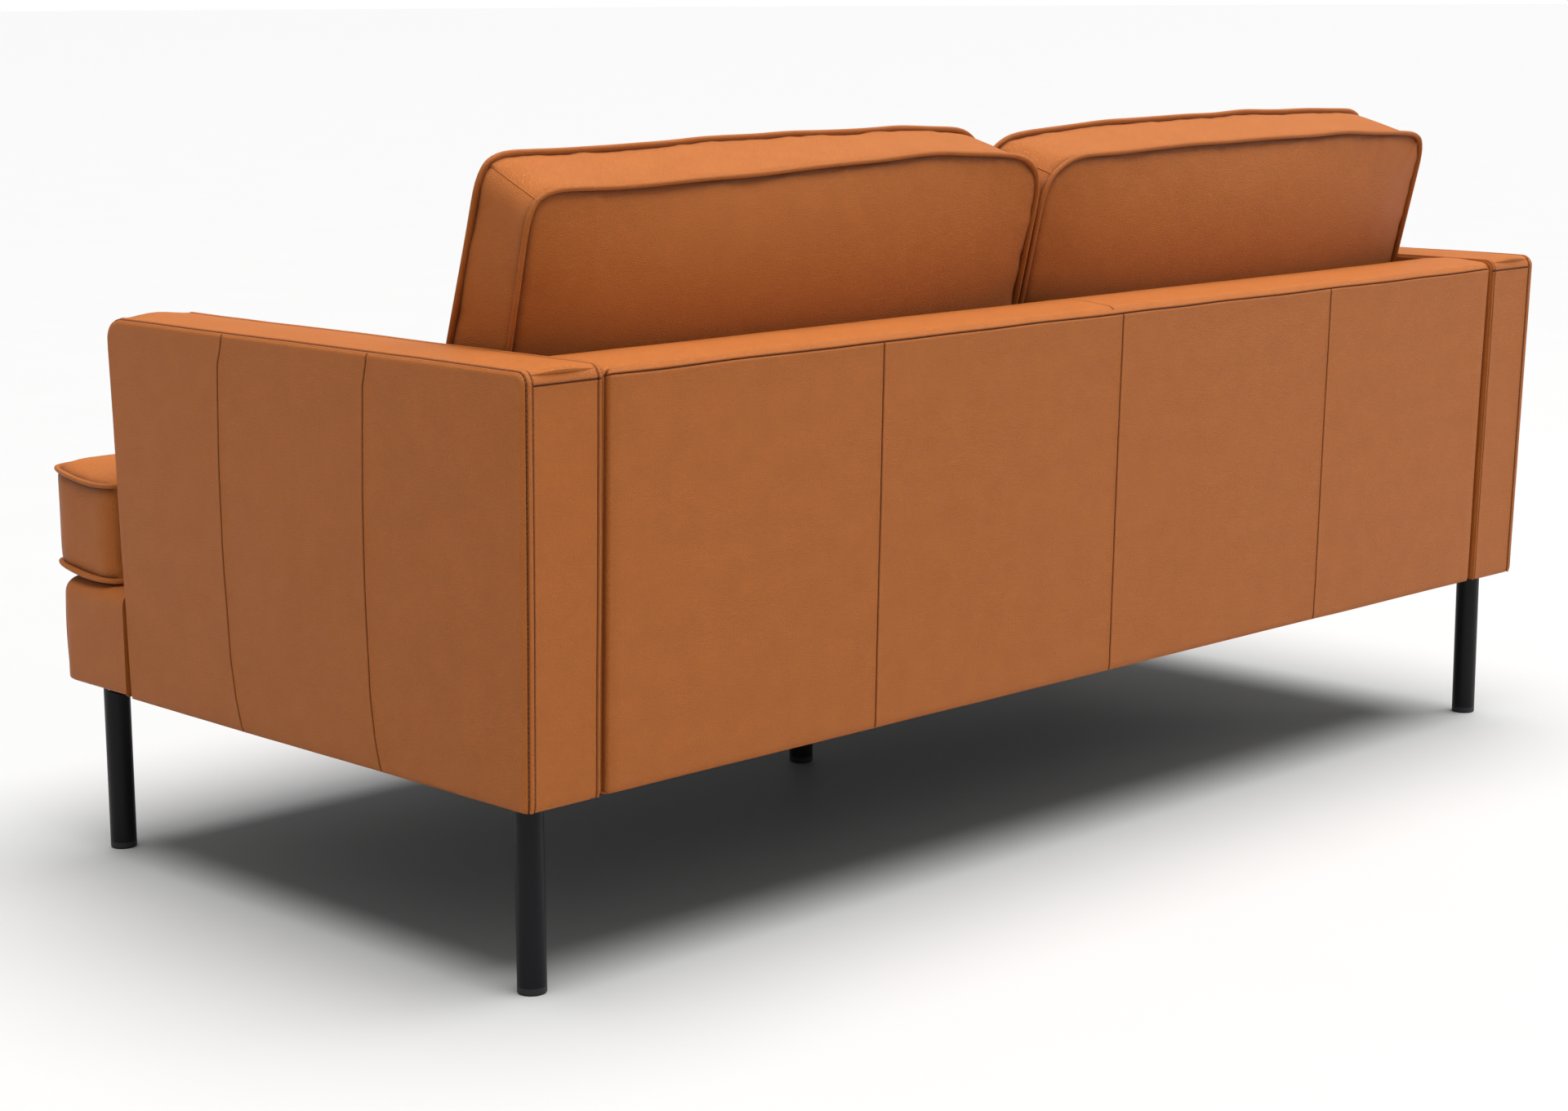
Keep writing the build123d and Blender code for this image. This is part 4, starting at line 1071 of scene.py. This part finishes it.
def make_cloths():
    """Dust cover under the body and the cloth of the seat deck."""
    legs = [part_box(leg) for leg in LEGS]
    holes = [((low.x + high.x) / 2, (low.y + high.y) / 2) for low, high in legs]

    def dust(x, y):
        if any(abs(x - a) < LEG_HOLE and abs(y - b) < LEG_HOLE for a, b in holes):
            return False
        if abs(x) - DUST_HIGH.x + DUST_LOW.y - y > -DUST_CORNER:
            return False
        in_joint = RAIL_HIGH.y - ARM_FRONT_GAP < y < ARM_FRONT_LOW + ARM_FRONT_GAP
        return not (abs(x) > ARM_LOW.x - 0.009 and in_joint)

    cloth_sheet("dust_cloth", (DUST_LOW.x, DUST_LOW.y), (DUST_HIGH.x, DUST_HIGH.y),
                DUST_LOW.z, dust, 0.07, "dust_cover")
    cloth_sheet("deck_sheet", (DECK_LOW.x, DECK_LOW.y), (DECK_HIGH.x, DECK_HIGH.y),
                DECK_HIGH.z - 0.001, lambda x, y: True, 0.09, "deck_cloth")


# ---- Stage, lights and camera ----

CAMERA_PLACE = Vector((2.8062, 2.7418, 1.0300))
CAMERA_YAW = 0.7772
CAMERA_PITCH = 0.1844
CAMERA_ROLL = -0.0046
CAMERA_LENS = 68.3
FILL_PLACE = Vector((-4.4, 2.6, 1.6))
FILL_TARGET = Vector((-0.8, 0.45, 0.45))


def make_stage():
    material, tree, principled, place = shader("pale_floor", 0.6)
    speckle = noise_node(tree, place, 3.0, 3.0)
    colour = ramp(tree, speckle, 0.3, 0.7, (0.474, 0.474, 0.473), (0.480, 0.480, 0.479))
    tree.links.new(colour, principled.inputs["Base Color"])
    reach = 400.0
    corners = [(-reach, -reach, 0), (reach, -reach, 0), (reach, reach, 0), (-reach, reach, 0)]
    floor = mesh_object("floor", corners, [[0, 1, 2, 3]], material)


def make_lights():
    """Bright studio sweep, a broad soft light from above, and a weak one at the side."""
    world = bpy.data.worlds.new("studio")
    world.use_nodes = True
    tree = world.node_tree
    room = tree.nodes["Background"]
    put(room, {"Color": (1.0, 1.0, 1.0, 1), "Strength": 0.27})
    seen = tree.nodes.new("ShaderNodeBackground")
    put(seen, {"Color": (1.0, 1.0, 1.0, 1), "Strength": 1.0})
    choose = tree.nodes.new("ShaderNodeMixShader")
    rays = tree.nodes.new("ShaderNodeLightPath")
    tree.links.new(rays.outputs["Is Camera Ray"], choose.inputs["Fac"])
    tree.links.new(room.outputs["Background"], choose.inputs[1])
    tree.links.new(seen.outputs["Background"], choose.inputs[2])
    tree.links.new(choose.outputs["Shader"], tree.nodes["World Output"].inputs["Surface"])
    bpy.context.scene.world = world
    sun = bpy.data.lights.new("overhead", "SUN")
    sun.energy = 5.9
    sun.angle = math.radians(60)
    lamp = bpy.data.objects.new("overhead", sun)
    lamp.rotation_euler = Vector((0.10, -0.10, -1.0)).to_track_quat("-Z", "Y").to_euler()
    bpy.context.scene.collection.objects.link(lamp)
    data = bpy.data.lights.new("fill", "AREA")
    data.shape = "RECTANGLE"
    data.size = data.size_y = 1.8
    data.energy = 34
    data.color = (1.0, 0.96, 0.93)
    light = bpy.data.objects.new("fill", data)
    light.location = FILL_PLACE
    light.rotation_euler = (FILL_TARGET - FILL_PLACE).to_track_quat("-Z", "Y").to_euler()
    bpy.context.scene.collection.objects.link(light)
    bpy.context.scene.view_settings.view_transform = "Standard"


def make_camera():
    forward = Vector((
        -math.sin(CAMERA_YAW) * math.cos(CAMERA_PITCH),
        -math.cos(CAMERA_YAW) * math.cos(CAMERA_PITCH),
        -math.sin(CAMERA_PITCH),
    ))
    right = forward.cross(Vector((0, 0, 1))).normalized()
    up = right.cross(forward)
    turned_right = right * math.cos(CAMERA_ROLL) + up * math.sin(CAMERA_ROLL)
    turned_up = up * math.cos(CAMERA_ROLL) - right * math.sin(CAMERA_ROLL)
    data = bpy.data.cameras.new("camera")
    data.lens = CAMERA_LENS
    data.sensor_width = 36.0
    camera = bpy.data.objects.new("camera", data)
    turn = Matrix((turned_right, turned_up, -forward)).transposed().to_4x4()
    camera.matrix_world = Matrix.Translation(CAMERA_PLACE) @ turn
    bpy.context.scene.collection.objects.link(camera)
    bpy.context.scene.camera = camera


# ---- Making ----

make_camera()
make_stage()
make_lights()
dress_cad_nodes()
make_arm("left", 1, 3)
make_arm("right", -1, 11)
make_backrest()
make_front_rail()
make_cloths()
make_seat_cushion("left", 1, 41)
make_seat_cushion("right", -1, 53)
make_back_cushion("left", 1, 61)
make_back_cushion("right", -1, 77)
